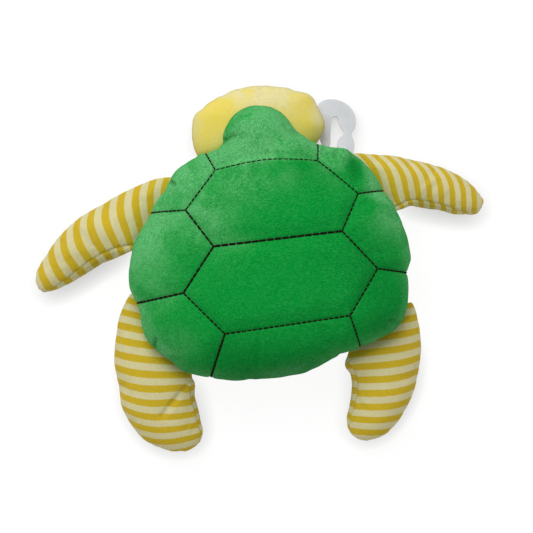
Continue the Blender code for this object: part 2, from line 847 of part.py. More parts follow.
def hook_outline():
    """The plate's edge, anticlockwise from the lower right of its eye, with the bar at the origin."""
    half = HOOK_STEM_WIDTH / 2
    end = -HOOK_BAR_WIDTH / 2
    corner = HOOK_STEM_WIDTH * TAB_CORNER_SHARE
    left_shoulder, right_shoulder = (HOOK_STEM * share for share in TAB_SHOULDER_SHARES)
    neck_low, neck_high = (HOOK_STEM * share for share in STEM_NECK_SHARES)
    neck_right = half - corner
    neck_left = neck_right - HOOK_NECK_WIDTH
    leg_right = -half - HOOK_SLOT_WIDTH
    leg_middle = (leg_right - HOOK_LEG_WIDTH / 2, HOOK_STEM * LEG_END_SHARE)
    across_share, along_share = SLOT_TOP_SHARES
    slot_top = (leg_right + HOOK_SLOT_WIDTH * across_share, HOOK_STEM * along_share)
    return (
        [(half - corner, end), (half, end + corner), (half, right_shoulder)]
        + [(neck_right, neck_low), (neck_right, neck_high)]
        + arc((-HOOK_SHIFT, HOOK_STEM), HOOK_RADIUS, *BEND_ARC)
        + arc(leg_middle, HOOK_LEG_WIDTH / 2, *LEG_ARC)
        + arc(slot_top, HOOK_SLOT_WIDTH / 2, *SLOT_ARC)
        + [(neck_left, neck_high), (neck_left, neck_low)]
        + [(-half + corner / 2, HOOK_STEM * TAB_WAIST_SHARE), (-half, left_shoulder)]
        + [(-half, end + corner), (-half + corner, end)]
    )


def make_hook():
    bar = tape_place()
    drop = HOOK_BAR_HEIGHT - HOOK_TIP_REST - HOOK_THICKNESS / 2
    tilt = -math.asin(drop / (HOOK_STEM + HOOK_RADIUS))
    hinge = make_empty("hook_hinge", bar, math.radians(HOOK_TURN))
    near = HOOK_BAR_WIDTH / 2
    far = near + HOOK_EYE_WIDTH
    half = HOOK_EYE_LENGTH / 2
    eye = [(-half, near), (half, near), (half, far), (-half, far)]
    hook = flat_curve(
        "hang_hook", [hook_outline(), eye], HOOK_THICKNESS, CLEAR_PLASTIC, hinge
    )
    hook.rotation_euler.x = tilt

    inner = tape_inner_radius()
    outer = inner + TAPE_THICKNESS
    top = TAPE_TOP_HEIGHT - HOOK_BAR_HEIGHT - outer
    loops = [
        arc((0, top), radius, 0, 180, TAPE_ARC_STEPS) + arc((0, 0), radius, 180, 360, TAPE_ARC_STEPS)
        for radius in (outer, inner)
    ]
    loop = flat_curve("hang_loop", loops, TAPE_WIDTH, WHITE_TAPE, None)
    loop.location = bar
    loop.rotation_euler = (math.pi / 2, 0, math.radians(HOOK_TURN) + math.pi / 2)


def main():
    make_body()
    make_head()
    for name in FLIPPERS:
        make_flipper(name)
    make_hook()


clear_scene()
PARTS = bpy.data.collections.new("plush_turtle")
CUTTERS = bpy.data.collections.new("cutters")
bpy.context.scene.collection.children.link(PARTS)
bpy.context.scene.collection.children.link(CUTTERS)

GREEN_PLUSH = make_material("green_plush", SHELL_GREEN, 0.9)
YELLOW_PLUSH = make_material("yellow_plush", PLUSH_YELLOW, 0.9)
STRIPED_COTTON = make_material("striped_cotton", STRIPE_YELLOW, 0.85)
FILLING = make_material("polyester_filling", FILLING_WHITE, 0.95)
BLACK_THREAD = make_material("black_thread", THREAD_BLACK, 0.7)
WHITE_TAPE = make_material("white_tape", TAPE_WHITE, 0.8)
CLEAR_PLASTIC = make_material("clear_plastic", HOOK_CLEAR, 0.25, 0.7)

main()
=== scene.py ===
"""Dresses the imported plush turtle: a stuffed shell with a neck lobe, a belly, a head, four striped
flippers, sewn lines, an embroidered face, and a plastic hang hook on a tape loop.

Run as a script. Metres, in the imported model's frame: +Y points to the head and +Z up.
"""

import json
import math

import bmesh
import bpy
import numpy as np
from bpy.props import FloatProperty, FloatVectorProperty, IntProperty, PointerProperty
from mathutils import Matrix, Vector
from mathutils.bvhtree import BVHTree
from mathutils.kdtree import KDTree


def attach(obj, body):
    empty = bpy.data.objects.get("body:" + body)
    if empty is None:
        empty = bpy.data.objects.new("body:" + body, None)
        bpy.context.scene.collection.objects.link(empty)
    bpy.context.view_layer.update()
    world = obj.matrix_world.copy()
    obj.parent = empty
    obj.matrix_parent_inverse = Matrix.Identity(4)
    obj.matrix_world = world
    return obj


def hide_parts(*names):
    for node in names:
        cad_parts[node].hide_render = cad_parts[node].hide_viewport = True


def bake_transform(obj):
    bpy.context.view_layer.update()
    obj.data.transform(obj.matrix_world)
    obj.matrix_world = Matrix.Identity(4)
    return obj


bl_info = {
    "name": "Plush turtle",
    "version": (1, 0, 0),
    "blender": (4, 5, 0),
    "location": "3D View > Sidebar > Turtle",
    "description": "Dresses the packed plush turtle with stuffed fabric, sewn lines and a hang hook",
    "category": "Object",
}

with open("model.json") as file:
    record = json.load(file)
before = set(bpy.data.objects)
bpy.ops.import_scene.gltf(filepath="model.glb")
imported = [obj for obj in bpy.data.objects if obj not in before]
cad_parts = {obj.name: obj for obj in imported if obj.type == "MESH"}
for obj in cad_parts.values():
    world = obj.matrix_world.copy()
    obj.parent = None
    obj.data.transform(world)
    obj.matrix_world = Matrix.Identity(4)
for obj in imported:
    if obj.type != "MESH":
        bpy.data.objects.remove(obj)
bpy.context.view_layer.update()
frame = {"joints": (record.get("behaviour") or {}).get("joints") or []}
JOINTS = {joint["child"]: joint for joint in frame["joints"]}
MM = 0.001

# Shell: distance of its edge from the middle, in mm, every 5 degrees from +X
SHELL_EDGE = (
    93.4, 92.8, 92.0, 91.2, 91.0, 89.8, 90.2, 90.8, 91.2, 91.4, 91.5, 88.4,
    85.6, 83.6, 83.6, 82.0, 80.8, 80.0, 79.6, 79.8, 80.4, 81.6, 83.4, 84.6,
    86.8, 87.8, 88.8, 87.9, 86.4, 87.2, 87.6, 88.2, 90.4, 93.0, 94.0, 95.2,
    96.4, 96.8, 95.4, 94.8, 97.4, 98.6, 98.0, 96.2, 94.8, 94.8, 92.2, 89.2,
    86.6, 84.6, 82.6, 80.2, 79.0, 78.2, 77.8, 77.6, 78.0, 77.4, 77.2, 77.0,
    77.8, 80.4, 83.4, 86.9, 91.2, 95.4, 96.8, 96.4, 95.2, 93.8, 92.2, 94.0,
)
# Spread from the middle and height in mm, from the top of the shell over its edge to the belly
BODY_PROFILE = (
    (0.0, 71.8),
    (0.15, 71.7),
    (0.30, 71.3),
    (0.45, 70.2),
    (0.60, 68.2),
    (0.75, 64.6),
    (0.86, 59.6),
    (0.94, 52.6),
    (0.985, 44.6),
    (1.0, 37.0),
    (0.985, 30.0),
    (0.945, 24.0),
    (0.925, 18.0),
    (0.885, 11.5),
    (0.80, 5.2),
    (0.66, 1.6),
    (0.48, 0.3),
    (0.25, 0.0),
    (0.0, 0.0),
)
SEAM_LEVEL = 24.0

# Neck lobe: edge in mm, closed behind inside the shell, and its profile of spread and height
LOBE_EDGE = (
    (40.0, 69.0),
    (37.9, 74.6),
    (35.5, 77.7),
    (31.4, 81.5),
    (27.2, 84.7),
    (24.4, 88.2),
    (21.6, 93.5),
    (18.7, 97.4),
    (14.6, 101.1),
    (9.1, 103.9),
    (3.7, 105.2),
    (-1.9, 105.6),
    (-6.5, 104.8),
    (-12.3, 102.3),
    (-17.2, 98.3),
    (-21.1, 92.9),
    (-23.6, 87.4),
    (-24.2, 83.4),
    (-31.0, 77.8),
    (-36.2, 74.0),
    (-32.0, 66.0),
    (-14.0, 54.0),
    (4.0, 51.0),
    (22.0, 53.0),
    (36.0, 60.0),
)
LOBE_MIDDLE = (2.0, 76.0)
LOBE_PROFILE = (
    (0.0, 60.5),
    (0.30, 60.0),
    (0.55, 57.8),
    (0.76, 53.5),
    (0.90, 47.0),
    (0.98, 40.0),
    (1.0, 34.5),
    (0.95, 30.0),
    (0.60, 28.5),
    (0.0, 28.5),
)

# Sewn lines on the shell: corners and ends at the edge, in mm
CORNERS = {
    "front_left": (-30.2, 63.7),
    "front_middle": (3.0, 66.8),
    "front_right": (37.4, 63.1),
    "shoulder_left": (-52.4, 39.5),
    "shoulder_right": (61.4, 38.6),
    "middle_left": (-36.4, 13.8),
    "middle_right": (48.0, 15.0),
    "flank_left": (-59.3, -14.4),
    "flank_right": (68.9, -11.8),
    "rear_left": (-35.1, -43.8),
    "rear_right": (47.6, -40.5),
    "edge_front_left": (-35.0, 74.2),
    "edge_front_right": (38.5, 70.3),
    "edge_shoulder_left": (-71.1, 40.6),
    "edge_shoulder_right": (75.6, 39.3),
    "edge_flank_left": (-88.1, -17.7),
    "edge_flank_right": (88.5, -16.5),
    "edge_rear_left": (-47.3, -70.6),
    "edge_rear_right": (52.8, -60.4),
}
# Each line's corners, thread width in mm, and stitch and gap lengths in mm
SEWN_LINES = (
    (("front_left", "edge_front_left"), 1.05, 3.0, 0.35),
    (("front_left", "front_middle", "front_right"), 0.8, 2.6, 0.85),
    (("front_right", "edge_front_right"), 1.0, 2.8, 0.4),
    (("front_right", "shoulder_right"), 0.95, 2.6, 0.7),
    (("shoulder_right", "edge_shoulder_right"), 1.1, 3.0, 0.3),
    (("shoulder_right", "middle_right"), 1.1, 3.1, 0.35),
    (("middle_right", "middle_left"), 1.6, 5.0, 0.03),
    (("middle_left", "shoulder_left"), 1.35, 4.2, 0.1),
    (("shoulder_left", "edge_shoulder_left"), 1.1, 3.0, 0.3),
    (("shoulder_left", "front_left"), 1.0, 2.8, 0.6),
    (("middle_right", "flank_right"), 1.15, 3.0, 0.5),
    (("flank_right", "edge_flank_right"), 1.2, 2.9, 0.25),
    (("flank_right", "rear_right"), 1.1, 2.9, 0.6),
    (("rear_right", "edge_rear_right"), 1.1, 2.9, 0.4),
    (("rear_right", "rear_left"), 1.1, 3.0, 0.55),
    (("rear_left", "edge_rear_left"), 1.45, 3.4, 0.0),
    (("rear_left", "flank_left"), 1.15, 3.0, 0.55),
    (("flank_left", "edge_flank_left"), 1.4, 3.6, 0.05),
    (("flank_left", "middle_left"), 1.4, 4.2, 0.05),
)
# Small tucks and folds in the shell: both ends, depth and width in mm
TUCKS = (
    ((-65.0, 63.6), (-58.5, 57.6), 3.0, 1.2),
    ((-70.0, 50.0), (-65.0, 57.0), 1.3, 2.2),
    ((-81.2, -43.2), (-85.0, -50.6), 1.8, 1.5),
    ((74.3, -47.1), (84.0, -52.6), 1.4, 1.8),
    ((44.0, 74.5), (42.0, 68.5), 1.4, 1.5),
    ((51.5, 70.5), (48.5, 65.0), 1.4, 1.5),
    ((62.2, 67.0), (61.5, 50.0), 1.3, 4.0),
    ((-25.6, 83.2), (-17.0, 85.4), 1.6, 2.0),
    ((-19.0, 85.2), (-8.5, 84.4), 1.0, 2.4),
    ((19.0, 88.8), (26.8, 81.4), 1.4, 2.4),
)
# Zones of the shell where the pile looks pale, partly brushed flat and partly painted sheen where
# the lamp's light falls: middle, half width and half height in mm, and amount
SHELL_BRUSHED_AND_SHEEN = (
    (2.0, 92.0, 40.0, 26.0, 0.20),
    (-38.0, 62.0, 12.0, 8.0, 0.22),
    (-8.0, 66.0, 20.0, 5.0, 0.22),
    (-57.0, 58.0, 22.0, 18.0, 0.52),
    (-80.0, 28.0, 22.0, 23.0, 0.68),
    (-38.0, 30.0, 15.0, 19.0, 0.42),
    (-16.0, 52.0, 22.0, 14.0, 0.36),
    (2.0, 54.0, 16.0, 5.0, 0.10),
    (-22.0, 14.0, 12.0, 5.0, 0.16),
    (18.0, 52.0, 6.0, 14.0, 0.08),
    (52.0, 67.0, 15.0, 10.0, 0.72),
    (75.0, 47.0, 8.0, 12.0, 0.42),
    (81.0, 28.0, 13.0, 17.0, 0.50),
    (-80.0, -14.0, 18.0, 16.0, 0.28),
    (-76.0, -50.0, 16.0, 13.0, 0.50),
    (-86.0, -36.0, 6.0, 12.0, 0.10),
    (20.0, -74.0, 22.0, 5.0, 0.25),
    (-36.0, 55.0, 6.0, 6.0, -0.20),
    (50.0, 46.0, 12.0, 8.0, 0.10),
    (70.0, 29.0, 6.0, 7.0, -0.25),
    (61.5, 57.0, 5.0, 9.0, -0.70),
    (29.0, 62.0, 8.0, 4.0, -0.15),
    (84.0, -34.0, 10.0, 10.0, -0.15),
)
# The same for painted shade: zones made darker where the shell turns away from the lamp, and in its
# hollows and creases
SHELL_PAINTED_SHADE = (
    (-5.0, -80.0, 75.0, 30.0, 0.42),
    (-34.0, -52.0, 16.0, 12.0, 0.10),
    (66.0, -16.0, 16.0, 26.0, 0.17),
    (72.0, -48.0, 18.0, 14.0, 0.16),
    (61.5, 57.0, 5.0, 10.0, 0.22),
    (34.0, 54.0, 14.0, 9.0, 0.12),
    (-16.0, 88.5, 6.0, 4.0, 0.12),
    (45.0, 4.0, 36.0, 30.0, 0.07),
)
# The same for the head's pale zones: pile brushed flat, and painted sheen along its front edge and
# rims
HEAD_BRUSHED_AND_SHEEN = (
    (12.0, 112.0, 22.0, 9.0, 0.70),
    (-12.0, 119.0, 26.0, 5.0, 0.45),
    (43.0, 98.0, 6.0, 14.0, 0.45),
    (-43.0, 92.0, 5.0, 16.0, 0.30),
    (-28.0, 100.0, 13.0, 10.0, -0.15),
    (35.0, 88.0, 8.0, 8.0, -0.15),
    (36.0, 106.0, 6.0, 4.0, -0.35),
)

# Head: edge in mm at its seam, and its profile of spread and height
HEAD_EDGE = (
    (39.2, 77.2),
    (41.2, 79.6),
    (43.8, 82.7),
    (46.3, 86.3),
    (47.0, 89.2),
    (46.0, 93.6),
    (44.2, 99.6),
    (42.4, 104.4),
    (40.6, 109.0),
    (37.8, 111.7),
    (32.9, 113.6),
    (25.5, 116.3),
    (16.7, 119.0),
    (7.7, 120.6),
    (-2.2, 120.9),
    (-13.6, 119.5),
    (-22.3, 116.3),
    (-29.7, 113.2),
    (-35.6, 108.9),
    (-40.0, 107.6),
    (-42.4, 105.4),
    (-43.6, 101.4),
    (-44.6, 95.6),
    (-45.0, 90.0),
    (-44.8, 84.4),
    (-43.8, 79.6),
    (-41.8, 75.8),
    (-36.0, 73.0),
    (-20.0, 72.4),
    (0.0, 72.2),
    (20.0, 72.4),
    (34.0, 73.6),
)
HEAD_MIDDLE = (0.8, 97.5)
HEAD_PROFILE = (
    (0.0, 38.0),
    (0.30, 37.7),
    (0.55, 36.8),
    (0.76, 34.2),
    (0.90, 29.6),
    (0.97, 24.6),
    (1.0, 19.0),
    (0.975, 14.0),
    (0.91, 9.0),
    (0.80, 4.6),
    (0.62, 1.4),
    (0.40, 0.2),
    (0.0, 0.0),
)
HEAD_SEAM_LEVEL = 19.0

# Flippers: thickness in mm, how far the seam on their hollow side lies above their widest line in
# degrees, and which side of the root their tip turns to
FLIPPERS = {
    "front_left": {"thickness": 26.0, "seam": 48.0, "hand": 1},
    "front_right": {"thickness": 26.0, "seam": 44.0, "hand": -1},
    "rear_left": {"thickness": 32.0, "seam": 22.0, "hand": 1},
    "rear_right": {"thickness": 32.0, "seam": 30.0, "hand": -1},
}
# Both ends of each section, from inside the shell to the tip: along the joint's axis and outwards
# from it, in mm
FLIPPER_SECTIONS = {
    "front_left": (
        (-26.0, -4.0, 30.0, -4.0),
        (-28.0, 0.5, 28.5, 0.0),
        (-31.5, 3.2, 20.1, 12.2),
        (-36.5, 7.2, 3.7, 25.6),
        (-41.5, 11.2, -12.0, 35.6),
        (-48.4, 16.8, -29.1, 45.5),
        (-60.6, 23.4, -46.6, 51.0),
        (-72.8, 30.6, -62.1, 52.5),
        (-81.5, 37.3, -74.3, 52.7),
        (-85.4, 42.0, -81.1, 50.3),
        (-85.3, 44.7, -83.6, 47.8),
        (-85.4, 46.3, -85.4, 46.3),
    ),
    "front_right": (
        (-26.0, -4.0, 21.0, -4.0),
        (-25.8, 0.0, 22.0, 0.0),
        (-18.5, 10.2, 24.2, 7.0),
        (-8.8, 22.9, 25.6, 13.4),
        (0.5, 32.2, 29.2, 17.6),
        (10.9, 41.9, 34.0, 22.8),
        (21.4, 49.6, 39.6, 29.3),
        (32.8, 55.2, 47.0, 35.6),
        (42.7, 57.3, 52.0, 42.6),
        (50.3, 57.7, 55.6, 47.8),
        (53.2, 55.1, 55.2, 51.4),
        (54.4, 54.3, 54.4, 54.3),
    ),
    "rear_left": (
        (-33.0, -8.0, 37.0, -6.0),
        (-37.2, -5.6, 35.7, 0.0),
        (-39.4, -4.2, 28.3, 12.5),
        (-41.0, -3.0, 16.5, 24.3),
        (-42.4, -1.6, 2.0, 35.0),
        (-47.2, 1.4, -12.8, 41.1),
        (-55.6, 4.1, -26.6, 47.2),
        (-63.6, 7.1, -42.7, 48.1),
        (-70.4, 9.8, -55.3, 45.3),
        (-75.0, 15.6, -67.7, 36.9),
        (-75.7, 22.9, -73.7, 29.1),
        (-75.6, 27.2, -75.6, 27.2),
    ),
    "rear_right": (
        (-34.0, -5.0, 21.5, -4.0),
        (-33.3, 0.0, 22.5, 0.0),
        (-30.6, 8.3, 26.8, 2.6),
        (-24.8, 19.9, 29.4, 6.6),
        (-16.8, 30.9, 29.6, 12.4),
        (-7.4, 40.2, 32.8, 18.4),
        (3.4, 48.8, 37.7, 23.9),
        (18.8, 56.2, 43.2, 29.0),
        (34.4, 59.4, 49.9, 34.6),
        (46.5, 56.4, 54.1, 42.1),
        (51.4, 52.7, 53.8, 48.2),
        (53.8, 50.3, 53.8, 50.3),
    ),
}
# Thickness of each section and how far its middle has come down from the seam to the floor
FLIPPER_SWELL = (
    (0.06, 0.0),
    (0.10, 0.0),
    (0.40, 0.10),
    (0.70, 0.42),
    (0.90, 0.78),
    (0.99, 0.97),
    (1.0, 1.0),
    (0.92, 1.0),
    (0.74, 1.0),
    (0.46, 1.0),
    (0.20, 1.0),
    (0.0, 1.0),
)
# Stripes: a middle in mm, and how their phase runs with x and y from there, in units of 30 mm:
# its terms are 1, x, y, xx, xy, yy, xxx, xxy, xyy and yyy. Gold is where it is near a whole number
STRIPES = {
    "front_left": ((-114.7, 31.1), (0.328, 2.527, 0.837, -0.030, 0.409, -0.798, 0.323, -1.015, 1.291, -0.841)),
    "front_right": ((108.4, 42.3), (0.543, 3.795, 0.390, 0.217, 0.450, 1.466, 0.062, 0.884, 2.597, 2.698)),
    "rear_left": ((-88.9, -78.3), (0.884, 0.374, 3.052, -0.425, 0.140, -0.093, 0.328, 0.627, 0.282, 0.083)),
    "rear_right": ((68.9, -87.8), (0.912, 0.047, 3.167, -0.288, -0.027, -0.042, -0.229, 0.385, -0.119, 0.045)),
}
# The lower panel's stripes don't meet the upper panel's: their shift, in pitches
LOWER_PANEL_SHIFT = 0.84
# Fold in the rear left flipper, in mm, and its stripes' shift beyond it, in pitches
REAR_FOLD = ((-60.5, -72.8), (-66.5, -79.0), (-72.8, -84.8), (-83.9, -96.0))
REAR_FOLD_SHIFT = 0.22

# Hang hook: its edge in mm from its eye bar, on the plate, and the plate's place
HOOK_EDGE = (
    (3.4, -1.3),
    (5.4, 0.2),
    (6.6, 2.6),
    (7.2, 6.0),
    (7.3, 10.4),
    (6.3, 13.8),
    (5.2, 16.3),
    (5.2, 19.1),
    (6.7, 21.4),
    (7.6, 25.0),
    (7.3, 29.7),
    (4.9, 35.3),
    (0.2, 39.7),
    (-5.3, 42.2),
    (-10.7, 42.5),
    (-15.9, 41.0),
    (-19.4, 37.4),
    (-21.2, 32.5),
    (-21.3, 27.0),
    (-19.8, 21.0),
    (-17.6, 15.0),
    (-16.0, 10.2),
    (-14.6, 8.0),
    (-12.6, 7.3),
    (-10.4, 7.6),
    (-9.3, 9.4),
    (-9.5, 14.0),
    (-9.6, 20.0),
    (-9.5, 26.2),
    (-8.8, 29.0),
    (-7.0, 29.9),
    (-5.1, 29.1),
    (-4.4, 27.0),
    (-3.5, 23.7),
    (-1.6, 20.6),
    (-0.5, 18.8),
    (-1.0, 16.4),
    (-2.7, 14.6),
    (-4.1, 12.2),
    (-4.6, 9.0),
    (-4.8, 5.4),
    (-5.2, 2.2),
    (-4.9, 0.2),
    (-3.4, -1.3),
)
HOOK_EYE = ((-4.2, 1.5), (0.0, 1.4), (4.2, 1.5), (4.4, 2.8), (4.2, 4.1), (0.0, 4.2), (-4.2, 4.1), (-4.4, 2.8))
HOOK_PLACE = Matrix(
    (
        (0.986286, 0.159236, 0.043413, 0.057099),
        (-0.165048, 0.951555, 0.259426, 0.066453),
        (0.0, -0.263033, 0.964787, 0.012),
        (0.0, 0.0, 0.0, 1.0),
    )
)


def photo_colour(red, green, blue):
    """A screen colour of 0 to 255 as the linear colour that a shader takes."""
    shares = (value / 255 for value in (red, green, blue))
    return tuple(s / 12.92 if s <= 0.04045 else ((s + 0.055) / 1.055) ** 2.4 for s in shares)


class TurtleSizes(bpy.types.PropertyGroup):
    """Sizes of the stuffed forms and their sewing"""

    pressure: FloatProperty(
        name="Stuffing pressure",
        description="How hard the filling pushes the fabric out",
        default=4.0,
        min=0.0,
        max=20.0,
    )
    groove_depth: FloatProperty(
        name="Groove depth",
        description="How far a sewn line sinks into the shell",
        default=0.0009,
        unit="LENGTH",
        subtype="DISTANCE",
    )
    hollow_depth: FloatProperty(
        name="Hollow depth",
        description="How far the filling gives way on both sides of a sewn line",
        default=0.0004,
        unit="LENGTH",
        subtype="DISTANCE",
    )
    hollow_width: FloatProperty(
        name="Hollow width",
        description="Distance from a sewn line over which the filling gives way",
        default=0.008,
        unit="LENGTH",
        subtype="DISTANCE",
    )
    seam_depth: FloatProperty(
        name="Seam depth",
        description="How far a seam between two panels is pulled in",
        default=0.0010,
        unit="LENGTH",
        subtype="DISTANCE",
    )
    hook_thickness: FloatProperty(
        name="Hook thickness",
        description="Thickness of the plastic hang hook",
        default=0.0014,
        unit="LENGTH",
        subtype="DISTANCE",
    )
    eye_threads: IntProperty(
        name="Threads in an eye",
        description="Satin stitches that fill each eye",
        default=13,
        min=3,
        max=40,
    )


class TurtleColours(bpy.types.PropertyGroup):
    """Colours of the fabrics, thread and plastic"""

    shell_deep: FloatVectorProperty(
        name="Shell, deep",
        description="Green of the pile where it stands up",
        default=photo_colour(4, 146, 54),
        subtype="COLOR",
    )
    # Also the colour of the painted sheen on the shell
    shell_pale: FloatVectorProperty(
        name="Shell, pale",
        description="Green of the pile where it is brushed flat",
        default=photo_colour(90, 177, 106),
        subtype="COLOR",
    )
    head_deep: FloatVectorProperty(
        name="Head, deep",
        description="Yellow of the head's pile",
        default=photo_colour(226, 206, 88),
        subtype="COLOR",
    )
    # Also the colour of the painted sheen on the head
    head_pale: FloatVectorProperty(
        name="Head, pale",
        description="Yellow of the head's pile where it is brushed flat",
        default=photo_colour(222, 212, 154),
        subtype="COLOR",
    )
    stripe_gold: FloatVectorProperty(
        name="Stripe, gold",
        description="Darker stripe of the flippers",
        default=photo_colour(200, 171, 38),
        subtype="COLOR",
    )
    stripe_cream: FloatVectorProperty(
        name="Stripe, cream",
        description="Paler stripe of the flippers",
        default=photo_colour(211, 202, 152),
        subtype="COLOR",
    )
    thread: FloatVectorProperty(
        name="Thread",
        description="Brown black sewing thread",
        default=photo_colour(20, 12, 8),
        subtype="COLOR",
    )
    tape: FloatVectorProperty(
        name="Tape",
        description="White cotton tape of the loop",
        default=photo_colour(226, 224, 216),
        subtype="COLOR",
    )
    hook: FloatVectorProperty(
        name="Hook",
        description="Milky clear plastic of the hook",
        default=photo_colour(214, 217, 222),
        subtype="COLOR",
    )


class TurtleStage(bpy.types.PropertyGroup):
    """Camera, lamps and floor"""

    camera_height: FloatProperty(
        name="Camera height",
        description="Distance of the camera above the floor",
        default=1.0,
        unit="LENGTH",
        subtype="DISTANCE",
    )
    camera_angle: FloatProperty(
        name="Camera angle",
        description="Width of the camera's view",
        default=math.radians(21.13),
        unit="ROTATION",
        subtype="ANGLE",
    )
    lamp_power: FloatProperty(
        name="Lamp power",
        description="Power of the soft lamp behind the head",
        default=13.0,
        unit="POWER",
    )
    sky_strength: FloatProperty(
        name="Sky strength",
        description="Strength of the even light from all sides",
        default=0.52,
        min=0.0,
    )
    floor_glow: FloatProperty(
        name="Floor glow",
        description="How much of the floor that the camera sees is plain white",
        default=0.88,
        min=0.0,
        max=1.0,
    )
    # Strength of the painted contact shadow in the floor's glow
    contact_shade: FloatProperty(
        name="Contact shade",
        description="How much darker the white floor gets close under the turtle",
        default=0.5,
        min=0.0,
        max=1.0,
    )
    floor_colour: FloatVectorProperty(
        name="Floor",
        description="Colour of the pale floor",
        default=(0.96, 0.96, 0.96),
        subtype="COLOR",
    )


# Lines and meshes


def smooth_line(points, closed=False, steps=16):
    """Close points along the smooth line through the points."""
    points = np.asarray(points, float)
    spans = len(points) if closed else len(points) - 1
    place = np.arange(spans * steps + (0 if closed else 1)) / steps
    first = np.minimum(place.astype(int), spans - 1)
    f = (place - first)[:, None]
    around = []
    for step in (-1, 0, 1, 2):
        index = first + step
        index = index % len(points) if closed else np.clip(index, 0, len(points) - 1)
        around.append(points[index])
    a, b, c, d = around
    return b + 0.5 * f * (c - a + f * (2 * a - 5 * b + 4 * c - d + f * (3 * (b - c) + d - a)))


def even_line(points, count, closed=False, lead=None):
    """Points an even distance apart along the smooth line. lead is how many columns are a place."""
    line = smooth_line(points, closed)
    if closed:
        line = np.vstack([line, line[:1]])
    steps = np.linalg.norm(np.diff(line[:, :lead], axis=0), axis=1)
    run = np.concatenate([[0], np.cumsum(steps)])
    wanted = np.linspace(0, run[-1], count, endpoint=not closed)
    return np.stack([np.interp(wanted, run, column) for column in line.T], axis=1)


def smoothstep(low, high, value):
    share = np.clip((value - low) / (high - low), 0, 1)
    return share * share * (3 - 2 * share)


def deselect():
    if bpy.context.mode != "OBJECT":
        bpy.ops.object.mode_set(mode="OBJECT")
    bpy.ops.object.select_all(action="DESELECT")


def select(*pieces):
    deselect()
    for piece in pieces:
        piece.select_set(True)
    bpy.context.view_layer.objects.active = pieces[0]


def coordinates(piece):
    points = np.empty(len(piece.data.vertices) * 3)
    piece.data.vertices.foreach_get("co", points)
    return points.reshape(-1, 3)


def set_coordinates(piece, points):
    piece.data.vertices.foreach_set("co", np.ascontiguousarray(points, float).ravel())
    piece.data.update()


def normals(piece):
    ways = np.empty(len(piece.data.vertices) * 3)
    piece.data.vertices.foreach_get("normal", ways)
    return ways.reshape(-1, 3)


def attribute(piece, name):
    values = np.empty(len(piece.data.vertices))
    piece.data.attributes[name].data.foreach_get("value", values)
    return values


def set_attribute(piece, name, values):
    data = piece.data.attributes.get(name)
    if data is None:
        data = piece.data.attributes.new(name, "FLOAT", "POINT")
    data.data.foreach_set("value", np.ascontiguousarray(values, np.float32))


def faces_outwards(piece):
    mesh = bmesh.new()
    mesh.from_mesh(piece.data)
    if mesh.calc_volume(signed=True) < 0:
        bmesh.ops.reverse_faces(mesh, faces=mesh.faces)
        mesh.to_mesh(piece.data)
    mesh.free()


def modify(piece, kind, **settings):
    """Adds a modifier to the piece and applies it."""
    select(piece)
    modifier = piece.modifiers.new(kind.lower(), kind)
    for name, value in settings.items():
        setattr(modifier, name, value)
    bpy.ops.object.modifier_apply(modifier=modifier.name)


def subdivide(piece, levels=1):
    modify(piece, "SUBSURF", levels=levels, render_levels=levels)


def surface_of(piece):
    points = [vertex.co.copy() for vertex in piece.data.vertices]
    return BVHTree.FromPolygons(points, [tuple(face.vertices) for face in piece.data.polygons])


def stuffed_form(name, columns, rings, place):
    """A closed form from a sphere: place(ring, column) gives the points of its rings."""
    deselect()
    bpy.ops.mesh.primitive_uv_sphere_add(segments=columns, ring_count=rings, radius=1)
    piece = bpy.context.active_object
    piece.name = name
    piece.data.name = name
    unit = coordinates(piece)
    ring = np.rint(rings * np.arccos(np.clip(unit[:, 2], -1, 1)) / math.pi).astype(int)
    column = np.rint(columns * np.arctan2(unit[:, 1], unit[:, 0]) / math.tau).astype(int) % columns
    set_coordinates(piece, place(ring, column))
    faces_outwards(piece)
    return piece, ring, column


def edge_distance(edge, middle):
    """A function that gives the distance of a closed edge from the middle at each angle."""
    loop = smooth_line(edge, closed=True, steps=24) - middle
    turns = np.arctan2(loop[:, 1], loop[:, 0])
    order = np.argsort(turns)
    distances = np.linalg.norm(loop, axis=1)
    return lambda angle: np.interp(angle, turns[order], distances[order], period=math.tau)


def hold_outline(points, middle, wanted, share):
    """Brings a swollen edge back to its wanted distance from the middle, as far as share says."""
    place = points[:, :2] - np.array(middle) * MM
    angle = np.arctan2(place[:, 1], place[:, 0]) % math.tau
    distance = np.linalg.norm(place, axis=1)
    aim = wanted(angle) * MM
    count = 180
    sector = np.rint(angle / math.tau * count).astype(int) % count
    edge = (share > 0.5) & (distance > 0.85 * aim)
    widest = np.zeros(count)
    np.maximum.at(widest, sector[edge], distance[edge])
    turns = np.arange(count) / count * math.tau
    scale = np.where(widest > 0, wanted(turns) * MM / np.maximum(widest, 1e-6), 1)
    scale = (np.roll(scale, 1) + 2 * scale + np.roll(scale, -1)) / 4
    here = np.interp(angle, turns, scale, period=math.tau)
    weight = smoothstep(0.55, 0.95, distance / aim) * share
    points[:, :2] += place * ((here - 1) * weight)[:, None]


def brushed(points, zones):
    """Strength of a list of zones at each point: pale pile with painted sheen, and painted shade."""
    amount = np.zeros(len(points))
    for x, y, wide, high, strength in zones:
        along = (points[:, 0] * 1000 - x) / wide
        across = (points[:, 1] * 1000 - y) / high
        amount += strength * np.exp(-(along**2) - across**2)
    return amount


def round_form(name, columns, rings, middle, edge, profile):
    """A closed form whose rings have the shape of the edge, and whose profile gives their size."""
    edge_at = edge_distance(edge, middle)
    radius = edge_at(np.linspace(0, math.tau, columns)).mean()
    rows = even_line(np.array(profile) * (radius, 1), rings + 1)
    rows[:, 0] /= radius
    rows[0, 0] = rows[-1, 0] = 0

    def place(ring, column):
        angle = math.tau * column / columns
        distance = edge_at(angle)
        spread, height = rows[ring].T
        out = np.stack([np.cos(angle), np.sin(angle)], axis=1) * (distance * spread)[:, None]
        return np.column_stack([out + middle, height]) * MM

    return stuffed_form(name, columns, rings, place)[0]


